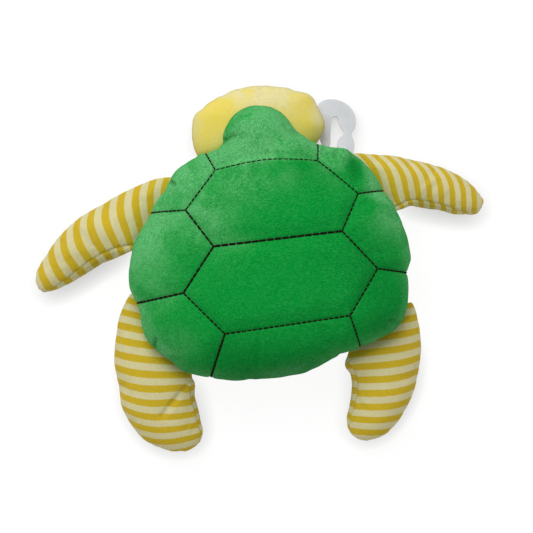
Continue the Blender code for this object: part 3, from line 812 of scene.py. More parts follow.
def near_lines(points, lines):
    """Distance of each point to the nearest of the lines, which are close points themselves."""
    places = np.vstack(lines)
    tree = KDTree(len(places))
    for index, place in enumerate(places):
        tree.insert(place, index)
    tree.balance()
    return np.array([tree.find(point)[2] for point in points])


def bell(distance, width):
    return np.exp(-((distance / width) ** 2))


def relax(piece, weights, rounds, share=0.5):
    """Moves points to the middle of their neighbours, as far as their weight says."""
    points = coordinates(piece)
    ends = np.empty(len(piece.data.edges) * 2, int)
    piece.data.edges.foreach_get("vertices", ends)
    ends = ends.reshape(-1, 2)
    count = np.zeros(len(points))
    np.add.at(count, ends[:, 0], 1)
    np.add.at(count, ends[:, 1], 1)
    for _ in range(rounds):
        total = np.zeros_like(points)
        np.add.at(total, ends[:, 0], points[ends[:, 1]])
        np.add.at(total, ends[:, 1], points[ends[:, 0]])
        points += (total / count[:, None] - points) * (share * weights)[:, None]
    set_coordinates(piece, points)


# Filling: the simulation runs ten times larger, where its forces suit cloth this small
SIMULATION_SCALE = 10.0


def stuff(piece, sewn, cap, swell=0.03, frames=20):
    """Fills the piece by cloth simulation. sewn is how firmly each point is held."""
    before = coordinates(piece)
    set_coordinates(piece, before * SIMULATION_SCALE)
    group = piece.vertex_groups.new(name="sewn")
    for level in np.unique(np.round(sewn, 1)):
        if level > 0:
            found = np.flatnonzero(np.round(sewn, 1) == level)
            group.add(found.tolist(), float(level), "REPLACE")
    cloth = piece.modifiers.new("filling", "CLOTH")
    settings = cloth.settings
    settings.quality = 5
    settings.mass = 0.15
    settings.tension_stiffness = 12
    settings.compression_stiffness = 12
    settings.shear_stiffness = 6
    settings.bending_stiffness = 0.3
    settings.air_damping = 4
    settings.use_pressure = True
    settings.uniform_pressure_force = bpy.context.scene.turtle_sizes.pressure
    settings.shrink_min = -swell
    settings.vertex_group_mass = "sewn"
    settings.effector_weights.gravity = 0
    cloth.collision_settings.use_collision = False
    cloth.collision_settings.use_self_collision = False
    cloth.point_cache.frame_start = 1
    cloth.point_cache.frame_end = frames
    for step in range(1, frames + 1):
        bpy.context.scene.frame_set(step)
    select(piece)
    bpy.ops.object.modifier_apply(modifier=cloth.name)
    bpy.context.scene.frame_set(1)
    piece.vertex_groups.clear()
    moved = coordinates(piece) / SIMULATION_SCALE - before
    length = np.linalg.norm(moved, axis=1)
    print(f"{piece.name}: filling moved its fabric by up to {length.max() * 1000:.1f} mm")
    allowed = np.minimum(1, cap / np.maximum(length, 1e-9))
    set_coordinates(piece, before + moved * allowed[:, None])


def finish_piece(piece, material):
    piece.data.materials.clear()
    piece.data.materials.append(material)
    piece.data.shade_smooth()


# Materials


def add_node(tree, kind, values=None, **settings):
    """A node of a shader tree. values are its inputs: a number, a colour, or another socket."""
    node = tree.nodes.new(kind)
    for name, value in settings.items():
        setattr(node, name, value)
    for name, value in (values or {}).items():
        if isinstance(value, bpy.types.NodeSocket):
            tree.links.new(value, node.inputs[name])
        else:
            node.inputs[name].default_value = value
    return node


def calculate(tree, operation, *values, clamp=False):
    numbers = dict(enumerate(values))
    return add_node(tree, "ShaderNodeMath", numbers, operation=operation, use_clamp=clamp).outputs[0]


def mix_colours(tree, share, first, second):
    node = add_node(tree, "ShaderNodeMix", data_type="RGBA")
    for index, value in ((0, share), (6, first), (7, second)):
        if isinstance(value, bpy.types.NodeSocket):
            tree.links.new(value, node.inputs[index])
        else:
            node.inputs[index].default_value = (*value, 1) if index else value
    return node.outputs[2]


def spread_between(tree, value, low, high):
    """The value as a share of the way from low to high, eased and kept within 0 and 1."""
    node = add_node(
        tree,
        "ShaderNodeMapRange",
        {"Value": value, "From Min": low, "From Max": high},
        interpolation_type="SMOOTHSTEP",
    )
    return node.outputs["Result"]


def noise(tree, place, scale, detail=2.0, roughness=0.5, warp=0.0):
    values = {
        "Vector": place,
        "Scale": scale,
        "Detail": detail,
        "Roughness": roughness,
        "Distortion": warp,
    }
    return add_node(tree, "ShaderNodeTexNoise", values).outputs["Fac"]


def new_group(name, inputs, outputs):
    """A shader group with its sockets, and the nodes that hold its inputs and outputs."""
    group = bpy.data.node_groups.new(name, "ShaderNodeTree")
    for label, kind, value in inputs:
        socket = group.interface.new_socket(label, in_out="INPUT", socket_type=kind)
        if value is not None:
            socket.default_value = value
    for label, kind in outputs:
        group.interface.new_socket(label, in_out="OUTPUT", socket_type=kind)
    return group, group.nodes.new("NodeGroupInput"), group.nodes.new("NodeGroupOutput")


def brushed_pile_group():
    """Short pile: large brushed patches, small tufts, and fine fibres that lie two ways."""
    number = "NodeSocketFloat"
    group, inside, out = new_group(
        "Brushed pile",
        [
            ("Position", "NodeSocketVector", None),
            ("Patch Size", number, 0.030),
            ("Tuft Size", number, 0.004),
            ("Fibre Size", number, 0.0010),
        ],
        [("Patches", number), ("Tufts", number), ("Fibres", number), ("Height", number)],
    )
    place = inside.outputs["Position"]
    patch_scale = calculate(group, "DIVIDE", 1.0, inside.outputs["Patch Size"])
    tuft_scale = calculate(group, "DIVIDE", 1.0, inside.outputs["Tuft Size"])
    fibre_scale = calculate(group, "DIVIDE", 1.0, inside.outputs["Fibre Size"])
    patches = spread_between(group, noise(group, place, patch_scale, 3.0, 0.55, 0.6), 0.36, 0.66)
    tufts = spread_between(group, noise(group, place, tuft_scale, 3.0, 0.6, 0.8), 0.34, 0.70)
    # Fibres are drawn out across the body, and slantwise where a hand has stroked them
    lying = []
    for degrees, length in ((-7, 2.6), (48, 2.0)):
        turned = add_node(
            group,
            "ShaderNodeMapping",
            {"Vector": place, "Rotation": (0, 0, math.radians(degrees)), "Scale": (length, 1, 1)},
            vector_type="TEXTURE",
        )
        lying.append(noise(group, turned.outputs[0], fibre_scale, 3.0, 0.6))
    stroked = spread_between(group, noise(group, place, 24.0, 1.0, 0.5), 0.42, 0.58)
    first = calculate(group, "MULTIPLY", lying[0], calculate(group, "SUBTRACT", 1.0, stroked))
    fibres = calculate(group, "ADD", first, calculate(group, "MULTIPLY", lying[1], stroked))
    fine = noise(group, place, calculate(group, "MULTIPLY", fibre_scale, 1.6), 1.0, 0.5)
    height = calculate(
        group,
        "ADD",
        calculate(group, "MULTIPLY", fibres, 0.7),
        calculate(group, "MULTIPLY", fine, 0.3),
    )
    for label, value in (
        ("Patches", patches),
        ("Tufts", tufts),
        ("Fibres", spread_between(group, fibres, 0.36, 0.66)),
        ("Height", height),
    ):
        group.links.new(value, out.inputs[label])
    return group


def stripes_group():
    """Gold and cream bands from their phase, with edges made ragged by the nap."""
    number = "NodeSocketFloat"
    group, inside, out = new_group(
        "Woven stripes",
        [
            ("Position", "NodeSocketVector", None),
            ("Phase", number, 0.0),
            ("Side Of Seam", number, 0.0),
            ("Lower Shift", number, LOWER_PANEL_SHIFT),
        ],
        [("Gold", number), ("Nap", number), ("Height", number), ("Seam", number)],
    )
    place = inside.outputs["Position"]
    ragged = calculate(group, "SUBTRACT", noise(group, place, 900.0, 3.0, 0.6), 0.5)
    wavy = calculate(group, "SUBTRACT", noise(group, place, 120.0, 2.0, 0.5), 0.5)
    lower = calculate(group, "LESS_THAN", inside.outputs["Side Of Seam"], 0.0)
    phase = calculate(
        group,
        "ADD",
        inside.outputs["Phase"],
        calculate(group, "MULTIPLY", lower, inside.outputs["Lower Shift"]),
    )
    phase = calculate(group, "ADD", phase, calculate(group, "MULTIPLY", ragged, 0.05))
    phase = calculate(group, "ADD", phase, calculate(group, "MULTIPLY", wavy, 0.05))
    wave = calculate(group, "COSINE", calculate(group, "MULTIPLY", phase, math.tau))
    gold = spread_between(group, wave, -0.18, 0.18)
    drawn = add_node(group, "ShaderNodeMapping", {"Vector": place, "Scale": (1.0, 0.6, 1.0)})
    nap = noise(group, drawn.outputs[0], 650.0, 3.0, 0.6, 0.4)
    weave = noise(group, place, 1900.0, 1.0, 0.5)
    height = calculate(group, "ADD", calculate(group, "MULTIPLY", nap, 0.7), calculate(group, "MULTIPLY", weave, 0.3))
    # Seam: nearness to the seam, used for painted shade there
    away = calculate(group, "ABSOLUTE", inside.outputs["Side Of Seam"])
    seam = calculate(group, "SUBTRACT", 1.0, spread_between(group, away, 0.0001, 0.0016))
    for label, value in (("Gold", gold), ("Nap", nap), ("Height", height), ("Seam", seam)):
        group.links.new(value, out.inputs[label])
    return group


def twist_group():
    """Spun thread: dark and light strands that run slantwise round it."""
    number = "NodeSocketFloat"
    group, inside, out = new_group(
        "Thread twist",
        [("Position", "NodeSocketVector", None), ("Strand Size", number, 0.0005)],
        [("Strands", number), ("Height", number)],
    )
    place = inside.outputs["Position"]
    scale = calculate(group, "DIVIDE", 1.0, inside.outputs["Strand Size"])
    strands = noise(group, place, scale, 2.0, 0.6, 1.2)
    fluff = noise(group, place, calculate(group, "MULTIPLY", scale, 2.6), 1.0, 0.5)
    group.links.new(spread_between(group, strands, 0.35, 0.7), out.inputs["Strands"])
    group.links.new(calculate(group, "ADD", strands, fluff), out.inputs["Height"])
    return group


def weave_group():
    """Plain weave of narrow tape: threads that pass over and under each other."""
    number = "NodeSocketFloat"
    group, inside, out = new_group(
        "Tape weave",
        [("Surface", "NodeSocketVector", None), ("Thread Size", number, 0.0006)],
        [("Threads", number), ("Height", number)],
    )
    parts = add_node(group, "ShaderNodeSeparateXYZ", {0: inside.outputs["Surface"]})
    turn = calculate(group, "DIVIDE", math.pi, inside.outputs["Thread Size"])
    warp = calculate(group, "SINE", calculate(group, "MULTIPLY", parts.outputs[0], turn))
    weft = calculate(group, "SINE", calculate(group, "MULTIPLY", parts.outputs[1], turn))
    crossing = calculate(group, "MULTIPLY", warp, weft)
    height = calculate(group, "ADD", calculate(group, "MULTIPLY", crossing, 0.5), 0.5)
    group.links.new(height, out.inputs["Height"])
    group.links.new(spread_between(group, height, 0.1, 0.9), out.inputs["Threads"])
    return group


def shared_group(name):
    makers = {
        "Brushed pile": brushed_pile_group,
        "Woven stripes": stripes_group,
        "Thread twist": twist_group,
        "Tape weave": weave_group,
    }
    return bpy.data.node_groups.get(name) or makers[name]()


def new_material(name):
    """A material's tree, its shader, and the object's own coordinates."""
    material = bpy.data.materials.new(name)
    material.use_nodes = True
    tree = material.node_tree
    place = tree.nodes.new("ShaderNodeTexCoord").outputs["Object"]
    return material, tree, tree.nodes["Principled BSDF"], place


def place_group(tree, name, values):
    node = tree.nodes.new("ShaderNodeGroup")
    node.node_tree = shared_group(name)
    for label, value in values.items():
        if isinstance(value, bpy.types.NodeSocket):
            tree.links.new(value, node.inputs[label])
        else:
            node.inputs[label].default_value = value
    return node.outputs


def raise_surface(tree, shader, height, distance, strength=1.0):
    bump = add_node(
        tree, "ShaderNodeBump", {"Height": height, "Distance": distance, "Strength": strength}
    )
    tree.links.new(bump.outputs[0], shader.inputs["Normal"])


def piece_attribute(tree, name):
    return add_node(tree, "ShaderNodeAttribute", attribute_name=name).outputs["Fac"]


def plush_material(name, deep, pale, tint, sizes, sheen, bump, contrast):
    """Short plush: deep where the pile stands, pale where it lies and where sheen is painted, darker
    where shade is painted, and a soft sheen at its edges.
    """
    material, tree, shader, place = new_material(name)
    patch, tuft, fibre = sizes
    pile = place_group(
        tree,
        "Brushed pile",
        {"Position": place, "Patch Size": patch, "Tuft Size": tuft, "Fibre Size": fibre},
    )
    # nap: how pale the pile is, partly brushed flat and partly painted sheen
    nap = piece_attribute(tree, "nap")
    stroked = calculate(tree, "MAXIMUM", nap, 0.0)
    # Stroked zones take more of the patches, tufts and flecks than the middle of a panel
    patchy = calculate(tree, "ADD", 0.40, calculate(tree, "MULTIPLY", pile["Patches"], 1.1))
    zone = calculate(tree, "MULTIPLY", stroked, patchy)
    amount = calculate(tree, "ADD", 0.06, calculate(tree, "MULTIPLY", stroked, 0.40))
    mottled = calculate(tree, "MULTIPLY", pile["Tufts"], amount)
    rough = calculate(tree, "ADD", 0.45, calculate(tree, "MULTIPLY", stroked, 0.7), clamp=True)
    rough = calculate(tree, "MULTIPLY", rough, contrast)
    flecks = calculate(tree, "MULTIPLY", calculate(tree, "MULTIPLY", pile["Fibres"], rough), 0.26)
    share = calculate(tree, "ADD", calculate(tree, "ADD", zone, mottled), flecks, clamp=True)
    share = calculate(tree, "SUBTRACT", share, 0.04, clamp=True)
    colour = mix_colours(tree, share, deep, pale)
    streaks = calculate(tree, "SUBTRACT", pile["Fibres"], 0.5)
    streaks = calculate(tree, "MULTIPLY", calculate(tree, "MULTIPLY", streaks, rough), 0.50)
    # Painted shade: the piece's shade attribute darkens the colour
    shade = calculate(
        tree,
        "MULTIPLY",
        calculate(tree, "ADD", 1.0, streaks),
        calculate(tree, "SUBTRACT", 1.0, piece_attribute(tree, "shade")),
    )
    shaded = add_node(tree, "ShaderNodeVectorMath", {0: colour, 3: shade}, operation="SCALE")
    tree.links.new(shaded.outputs[0], shader.inputs["Base Color"])
    shader.inputs["Roughness"].default_value = 0.92
    shader.inputs["Specular IOR Level"].default_value = 0.04
    shader.inputs["Sheen Weight"].default_value = sheen
    shader.inputs["Sheen Roughness"].default_value = 0.45
    shader.inputs["Sheen Tint"].default_value = (*tint, 1)
    tufts = calculate(tree, "MULTIPLY", pile["Tufts"], 0.35)
    relief = calculate(tree, "ADD", calculate(tree, "MULTIPLY", pile["Height"], rough), tufts)
    raise_surface(tree, shader, relief, bump)
    return material


def green_plush():
    colours = bpy.context.scene.turtle_colours
    return plush_material(
        "green_plush",
        colours.shell_deep,
        colours.shell_pale,
        photo_colour(110, 225, 150),
        sizes=(0.022, 0.0034, 0.0008),
        sheen=0.04,
        bump=0.0005,
        contrast=1.0,
    )


def yellow_plush():
    colours = bpy.context.scene.turtle_colours
    return plush_material(
        "yellow_plush",
        colours.head_deep,
        colours.head_pale,
        photo_colour(245, 240, 210),
        sizes=(0.024, 0.006, 0.0010),
        sheen=0.08,
        bump=0.00015,
        contrast=0.22,
    )


def striped_cotton():
    """Soft striped cotton: ragged bands, puckers and painted shade along the seams, and a fine nap."""
    colours = bpy.context.scene.turtle_colours
    material, tree, shader, place = new_material("striped_cotton")
    side = piece_attribute(tree, "panel")
    cloth = place_group(
        tree,
        "Woven stripes",
        {"Position": place, "Phase": piece_attribute(tree, "stripe"), "Side Of Seam": side},
    )
    colour = mix_colours(tree, cloth["Gold"], colours.stripe_cream, colours.stripe_gold)
    cloudy = noise(tree, place, 45.0, 3.0, 0.55)
    shade = calculate(tree, "ADD", 0.80, calculate(tree, "MULTIPLY", cloth["Nap"], 0.24))
    shade = calculate(tree, "ADD", shade, calculate(tree, "MULTIPLY", cloudy, 0.16))
    # Painted shade: the cloth is darker along the seam
    sunk = calculate(tree, "SUBTRACT", 1.0, calculate(tree, "MULTIPLY", cloth["Seam"], 0.10))
    shade = calculate(tree, "MULTIPLY", shade, sunk)
    shaded = add_node(tree, "ShaderNodeVectorMath", {0: colour, 3: shade}, operation="SCALE")
    tree.links.new(shaded.outputs[0], shader.inputs["Base Color"])
    shader.inputs["Roughness"].default_value = 0.9
    shader.inputs["Specular IOR Level"].default_value = 0.15
    shader.inputs["Sheen Weight"].default_value = 0.10
    shader.inputs["Sheen Roughness"].default_value = 0.4
    raise_surface(tree, shader, cloth["Height"], 0.0004)
    return material


def black_thread():
    colours = bpy.context.scene.turtle_colours
    material, tree, shader, place = new_material("black_thread")
    thread = place_group(tree, "Thread twist", {"Position": place})
    lighter = tuple(min(1, 2.2 * value + 0.001) for value in colours.thread)
    share = calculate(tree, "MULTIPLY", thread["Strands"], 0.6)
    tree.links.new(mix_colours(tree, share, colours.thread, lighter), shader.inputs["Base Color"])
    shader.inputs["Roughness"].default_value = 0.85
    shader.inputs["Specular IOR Level"].default_value = 0.06
    raise_surface(tree, shader, thread["Height"], 0.00015)
    return material


def white_tape():
    colours = bpy.context.scene.turtle_colours
    material, tree, shader, place = new_material("white_tape")
    surface = tree.nodes.new("ShaderNodeUVMap").outputs[0]
    weave = place_group(tree, "Tape weave", {"Surface": surface})
    # Painted shade: the weave is darker where its threads lie low
    darker = tuple(0.62 * value for value in colours.tape)
    tree.links.new(mix_colours(tree, weave["Threads"], darker, colours.tape), shader.inputs["Base Color"])
    shader.inputs["Roughness"].default_value = 0.85
    shader.inputs["Specular IOR Level"].default_value = 0.2
    raise_surface(tree, shader, weave["Height"], 0.0002)
    return material


def clear_plastic():
    """Milky pressed plastic with faint flow marks and a soft gloss."""
    colours = bpy.context.scene.turtle_colours
    material, tree, shader, place = new_material("clear_plastic")
    flow = noise(tree, place, 70.0, 3.0, 0.6, 1.5)
    milky = tuple(min(1, 1.05 * value) for value in colours.hook)
    duller = tuple(0.90 * value for value in colours.hook)
    tree.links.new(mix_colours(tree, flow, duller, milky), shader.inputs["Base Color"])
    scuffs = noise(tree, place, 900.0, 2.0, 0.6)
    rough = calculate(tree, "ADD", 0.28, calculate(tree, "MULTIPLY", scuffs, 0.16))
    tree.links.new(rough, shader.inputs["Roughness"])
    shader.inputs["Alpha"].default_value = 0.62
    shader.inputs["IOR"].default_value = 1.49
    raise_surface(tree, shader, flow, 0.00005)
    return material


# Sewn lines on a surface


def drop_on(surface, plan):
    """The points of the surface that lie straight below the points of a plan, in metres."""
    found = []
    for x, y in plan:
        hit, normal, _, _ = surface.ray_cast(Vector((x, y, 0.2)), Vector((0, 0, -1)))
        if hit is not None:
            found.append((*hit, *normal))
    return np.array(found).reshape(-1, 6)


def down_the_wall(surface, start, way, low, high):
    """Points where a sewn line goes on from the shell's edge down to its seam."""
    found = []
    for height in np.arange(high, low, -0.0005):
        origin = Vector((*(start + way * 0.05), height))
        hit, normal, _, _ = surface.ray_cast(origin, Vector((*(-way), 0)))
        if hit is not None:
            found.append((*hit, *normal))
    return np.array(found).reshape(-1, 6)


def sewn_paths(surface):
    """Each sewn line as close points on the surface, with the surface's normals."""
    paths = []
    for corners, width, stitch, gap in SEWN_LINES:
        plan = np.array([CORNERS[corner] for corner in corners]) * MM
        steps = int(np.linalg.norm(np.diff(plan, axis=0), axis=1).sum() / 0.0005)
        path = drop_on(surface, even_line(plan, steps))
        if corners[-1].startswith("edge"):
            start = plan[-1]
            way = (plan[-1] - plan[0]) / np.linalg.norm(plan[-1] - plan[0])
            wall = down_the_wall(surface, start, way, 0.0245, path[-1, 2])
            if len(wall):
                path = np.vstack([path, wall])
        paths.append((path, width * MM, stitch * MM, gap * MM))
    return paths


def shell_distance(angle):
    """Distance of the shell's edge from the middle, in mm, at each angle."""
    fine = smooth_line(np.array(SHELL_EDGE)[:, None], closed=True, steps=8)[:, 0]
    turns = np.arange(len(fine)) / len(fine) * math.tau
    return np.interp(angle, turns, fine, period=math.tau)


# Operators


class TURTLE_OT_stage(bpy.types.Operator):
    """Adds the floor, the lamps and the camera above the turtle"""

    bl_idname = "turtle.stage"
    bl_label = "Stage"

    def execute(self, context):
        stage = context.scene.turtle_stage
        deselect()
        bpy.ops.mesh.primitive_plane_add(size=8, location=(0, 0, -0.0002))
        floor = context.active_object
        floor.name = "floor"
        material, tree, shader, place = new_material("pale_floor")
        even = noise(tree, place, 3.0)
        first = tuple(0.995 * value for value in stage.floor_colour)
        tree.links.new(mix_colours(tree, even, first, stage.floor_colour), shader.inputs["Base Color"])
        shader.inputs["Roughness"].default_value = 0.9
        shader.inputs["Specular IOR Level"].default_value = 0.0
        # The camera, metal and glass see a white floor that keeps a faint shadow
        share = calculate(tree, "MULTIPLY", self.seen(tree), stage.floor_glow)
        # Painted contact shadow: close under the turtle the floor's glow is darker, most on the side away
        # from the lamp
        lean = add_node(tree, "ShaderNodeCombineXYZ", {0: -0.2, 1: 0.68, 2: 0.7})
        open_sky = add_node(
            tree,
            "ShaderNodeAmbientOcclusion",
            {"Distance": 0.015, "Normal": lean.outputs[0]},
            samples=16,
        )
        closed = calculate(tree, "SUBTRACT", 1.0, open_sky.outputs["AO"])
        closed = calculate(tree, "MULTIPLY", closed, stage.contact_shade)
        strength = calculate(tree, "MULTIPLY", calculate(tree, "SUBTRACT", 1.0, closed), 1.04)
        glow = add_node(
            tree, "ShaderNodeEmission", {"Color": (1, 1, 1, 1), "Strength": strength}
        )
        both = add_node(
            tree, "ShaderNodeMixShader", {0: share, 1: shader.outputs[0], 2: glow.outputs[0]}
        )
        tree.links.new(both.outputs[0], tree.nodes["Material Output"].inputs[0])
        floor.data.materials.append(material)

        # They see a white background too, and the object gets an even light
        world = bpy.data.worlds.new("studio")
        context.scene.world = world
        world.use_nodes = True
        tree = world.node_tree
        tree.nodes.clear()
        seen = self.seen(tree)
        light = add_node(
            tree, "ShaderNodeBackground", {"Color": (1, 1, 1, 1), "Strength": stage.sky_strength}
        )
        white = add_node(tree, "ShaderNodeBackground", {"Color": (1, 1, 1, 1), "Strength": 1.0})
        choice = add_node(
            tree, "ShaderNodeMixShader", {0: seen, 1: light.outputs[0], 2: white.outputs[0]}
        )
        out = tree.nodes.new("ShaderNodeOutputWorld")
        tree.links.new(choice.outputs[0], out.inputs[0])

        lamp_data = bpy.data.lights.new("soft_lamp", "AREA")
        lamp_data.size = 0.9
        lamp_data.energy = stage.lamp_power
        lamp = bpy.data.objects.new("soft_lamp", lamp_data)
        lamp.location = (-0.25, 0.85, 1.2)
        way = Vector((0, 0, 0)) - lamp.location
        lamp.rotation_euler = way.to_track_quat("-Z", "Y").to_euler()
        context.scene.collection.objects.link(lamp)

        camera_data = bpy.data.cameras.new("camera")
        camera_data.sensor_fit = "HORIZONTAL"
        camera_data.angle = stage.camera_angle
        camera = bpy.data.objects.new("camera", camera_data)
        camera.location = (-0.00346, -0.0028, stage.camera_height)
        camera.rotation_euler = (0, 0, math.radians(-6))
        context.scene.collection.objects.link(camera)
        context.scene.camera = camera
        context.scene.view_settings.view_transform = "Standard"
        return {"FINISHED"}

    def seen(self, tree):
        """1 for what the camera sees, straight or through gloss and glass, and 0 for light."""
        rays = tree.nodes.new("ShaderNodeLightPath").outputs
        seen = calculate(tree, "ADD", rays["Is Camera Ray"], rays["Is Glossy Ray"])
        return calculate(tree, "ADD", seen, rays["Is Transmission Ray"], clamp=True)


class TURTLE_OT_head(bpy.types.Operator):
    """Makes the stuffed yellow head, with its seam round the widest line"""

    bl_idname = "turtle.head"
    bl_label = "Head"

    def execute(self, context):
        sizes = context.scene.turtle_sizes
        head = round_form("head", 96, 40, HEAD_MIDDLE, HEAD_EDGE, HEAD_PROFILE)
        points = coordinates(head)
        seam = np.abs(points[:, 2] - HEAD_SEAM_LEVEL * MM) < 0.0011
        stuff(head, seam.astype(float), cap=0.003)
        points = coordinates(head)
        edge_at = edge_distance(HEAD_EDGE, HEAD_MIDDLE)
        hold_outline(points, HEAD_MIDDLE, edge_at, np.ones(len(points)))
        set_coordinates(head, points)
        relax(head, np.ones(len(points)), 2, 0.3)
        subdivide(head, 1)
        points = coordinates(head)
        ways = normals(head)
        away = np.abs(points[:, 2] - HEAD_SEAM_LEVEL * MM)
        angle = np.arctan2(points[:, 1] - 0.0975, points[:, 0])
        puckers = 0.00008 * np.sin(angle * 47) * bell(away, 0.004)
        points -= ways * (sizes.seam_depth * 0.6 * bell(away, 0.0011) + puckers)[:, None]
        points[:, 2] = np.maximum(points[:, 2], 0)
        set_coordinates(head, points)
        # Where the head turns down from its top, painted sheen makes it paler and painted shade darker
        turned = smoothstep(0.55, 0.1, ways[:, 2])
        nap = 0.22 + brushed(points, HEAD_BRUSHED_AND_SHEEN) + 0.15 * turned
        set_attribute(head, "nap", np.clip(nap, -1, 1))
        set_attribute(head, "shade", 0.22 * turned)
        finish_piece(head, yellow_plush())
        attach(head, "head")
        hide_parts("head_crown", "head_chin", "head_filling")
        return {"FINISHED"}


class TURTLE_OT_body(bpy.types.Operator):
    """Makes the stuffed shell with its neck lobe, and the belly below the rim seam"""

    bl_idname = "turtle.body"
    bl_label = "Shell and belly"

    def execute(self, context):
        turns = np.arange(len(SHELL_EDGE)) / len(SHELL_EDGE) * math.tau
        edge = np.column_stack([np.cos(turns), np.sin(turns)]) * np.array(SHELL_EDGE)[:, None]
        body = round_form("shell", 144, 72, (0, 0), edge, BODY_PROFILE)
        lobe = round_form("lobe", 96, 40, LOBE_MIDDLE, LOBE_EDGE, LOBE_PROFILE)
        select(body, lobe)
        bpy.ops.object.join()
        modify(body, "REMESH", mode="VOXEL", voxel_size=0.0028, adaptivity=0)
        self.join_lobe(body)
        surface = surface_of(body)
        lines = [path[:, :3] for path, _, _, _ in sewn_paths(surface)]
        points = coordinates(body)
        held = bell(near_lines(points, lines), 0.003)
        held = np.maximum(held, bell(points[:, 2] - SEAM_LEVEL * MM, 0.002))
        stuff(body, held, cap=0.0025)
        points = coordinates(body)
        self.keep_outline(points)
        set_coordinates(body, points)
        relax(body, np.ones(len(held)), 2, 0.3)
        subdivide(body, 2)
        self.sew(body, context.scene.turtle_sizes)
        self.part(body)
        return {"FINISHED"}

    def join_lobe(self, body):
        """Softens the step between the lobe and the shell, on the right more than on the left."""
        points = coordinates(body)
        across = np.abs(points[:, 0] * 1000 - 2)
        front = smoothstep(52, 66, points[:, 1] * 1000) * smoothstep(100, 90, points[:, 1] * 1000)
        top = smoothstep(36, 46, points[:, 2] * 1000)
        side = smoothstep(46, 30, across)
        left = smoothstep(-12, -22, points[:, 0] * 1000) * smoothstep(74, 82, points[:, 1] * 1000)
        relax(body, front * top * side * (1 - 0.8 * left), 14, 0.6)

    def keep_outline(self, points):
        """Brings the swollen edges of the shell and its lobe back to their outlines."""
        x, y, z = points.T * 1000
        lobe = smoothstep(66, 80, y) * smoothstep(46, 39, np.abs(x - 3))
        hold_outline(points, (0, 0), shell_distance, 1 - lobe)
        free = lobe * smoothstep(27, 32, z) * smoothstep(74, 80, y)
        hold_outline(points, LOBE_MIDDLE, edge_distance(LOBE_EDGE, LOBE_MIDDLE), free)

    def sew(self, body, sizes):
        """Sinks the sewn lines, the tucks and the rim seam, and flattens what lies on the floor."""
        points = coordinates(body)
        ways = normals(body)
        surface = surface_of(body)
        lines = [path[:, :3] for path, _, _, _ in sewn_paths(surface)]
        upper = points[:, 2] > 0.023
        away = np.full(len(points), 1.0)
        away[upper] = near_lines(points[upper], lines)
        ring = np.arctan2(points[:, 1], points[:, 0])
        inside = shell_distance(ring) * MM - np.linalg.norm(points[:, :2], axis=1)
        sunk = sizes.groove_depth * bell(away, 0.0012)
        sunk += sizes.hollow_depth * bell(away, sizes.hollow_width) * smoothstep(0, 0.016, inside)
        for first, last, depth, width in TUCKS:
            tuck = drop_on(surface, even_line(np.array((first, last)) * MM, 40))[:, :3]
            away[upper] = near_lines(points[upper], [tuck])
            sunk += depth * MM * bell(away, width * MM)
        rim = np.abs(points[:, 2] - SEAM_LEVEL * MM)
        puckers = np.sin(ring * 61) * np.sin(ring * 17 + 1) * 0.0003 * bell(rim, 0.005)
        sunk += sizes.seam_depth * bell(rim, 0.0016) + puckers
        points -= ways * sunk[:, None]
        points[:, 2] = np.maximum(points[:, 2], 0)
        self.keep_outline(points)
        self.rest_on_head(points)
        set_coordinates(body, points)

    def rest_on_head(self, points):
        """Lifts the lobe's underside onto the head."""
        head = surface_of(bpy.data.objects["head"])
        x, y, z = points.T
        for index in np.flatnonzero((y > 0.078) & (z > 0.020) & (z < 0.045)):
            hit, _, _, _ = head.ray_cast(Vector((x[index], y[index], 0.1)), Vector((0, 0, -1)))
            if hit is not None and z[index] < hit.z + 0.0004:
                lift = hit.z + 0.0004 - z[index]
                points[index, 2] += lift * smoothstep(0.078, 0.086, y[index])

    def part(self, body):
        """Cuts the form at the rim seam into the green shell and the yellow belly."""
        belly = body.copy()
        belly.data = body.data.copy()
        belly.name = belly.data.name = "belly"
        bpy.context.scene.collection.objects.link(belly)
        for piece, way in ((body, -1), (belly, 1)):
            select(piece)
            bpy.ops.object.mode_set(mode="EDIT")
            bpy.ops.mesh.select_all(action="SELECT")
            bpy.ops.mesh.bisect(
                plane_co=(0, 0, SEAM_LEVEL * MM - way * 0.00012),
                plane_no=(0, 0, way),
                use_fill=True,
                clear_outer=True,
            )
            bpy.ops.object.mode_set(mode="OBJECT")
            faces_outwards(piece)
        self.brush(body)
        finish_piece(body, green_plush())
        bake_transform(body)
        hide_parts("shell_cover", "neck_cover", "neck_filling")
        set_attribute(belly, "nap", np.full(len(belly.data.vertices), 0.3))
        finish_piece(belly, bpy.data.materials["yellow_plush"])
        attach(belly, "body")
        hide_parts("belly_cover", "body_filling")

    def brush(self, shell):
        """Marks where the pile is brushed pale, where painted sheen pales it along the edge and the front,
        and where painted shade darkens it away from the lamp and along the tucks.
        """
        points = coordinates(shell)
        angle = np.arctan2(points[:, 1], points[:, 0])
        inside = shell_distance(angle) - np.linalg.norm(points[:, :2], axis=1) * 1000
        line = np.array([CORNERS[name] for name in ("front_left", "front_middle", "front_right")])
        front = points[:, 1] * 1000 - np.interp(points[:, 0] * 1000, *line.T)
        within = smoothstep(-42, -34, points[:, 0] * 1000) * smoothstep(46, 37, points[:, 0] * 1000)
        # Painted sheen paler along the edge and in front of the front sewn line, with the pale zones
        nap = 0.40 * bell(inside, 7.0) + brushed(points, SHELL_BRUSHED_AND_SHEEN)
        nap += 0.38 * smoothstep(-2.5, 1.5, front) * within
        # Painted shade: darker zones, and darker along the tucks
        shade = brushed(points, SHELL_PAINTED_SHADE)
        for first, last, depth, width in TUCKS:
            line = np.column_stack([even_line(np.array((first, last)), 40), np.zeros(40)])
            plan = points * (1000, 1000, 0)
            shade += 0.05 * depth * bell(near_lines(plan, [line]), width * 0.9)
        set_attribute(shell, "nap", np.clip(nap, -1, 1))
        set_attribute(shell, "shade", np.clip(shade, 0, 0.8))


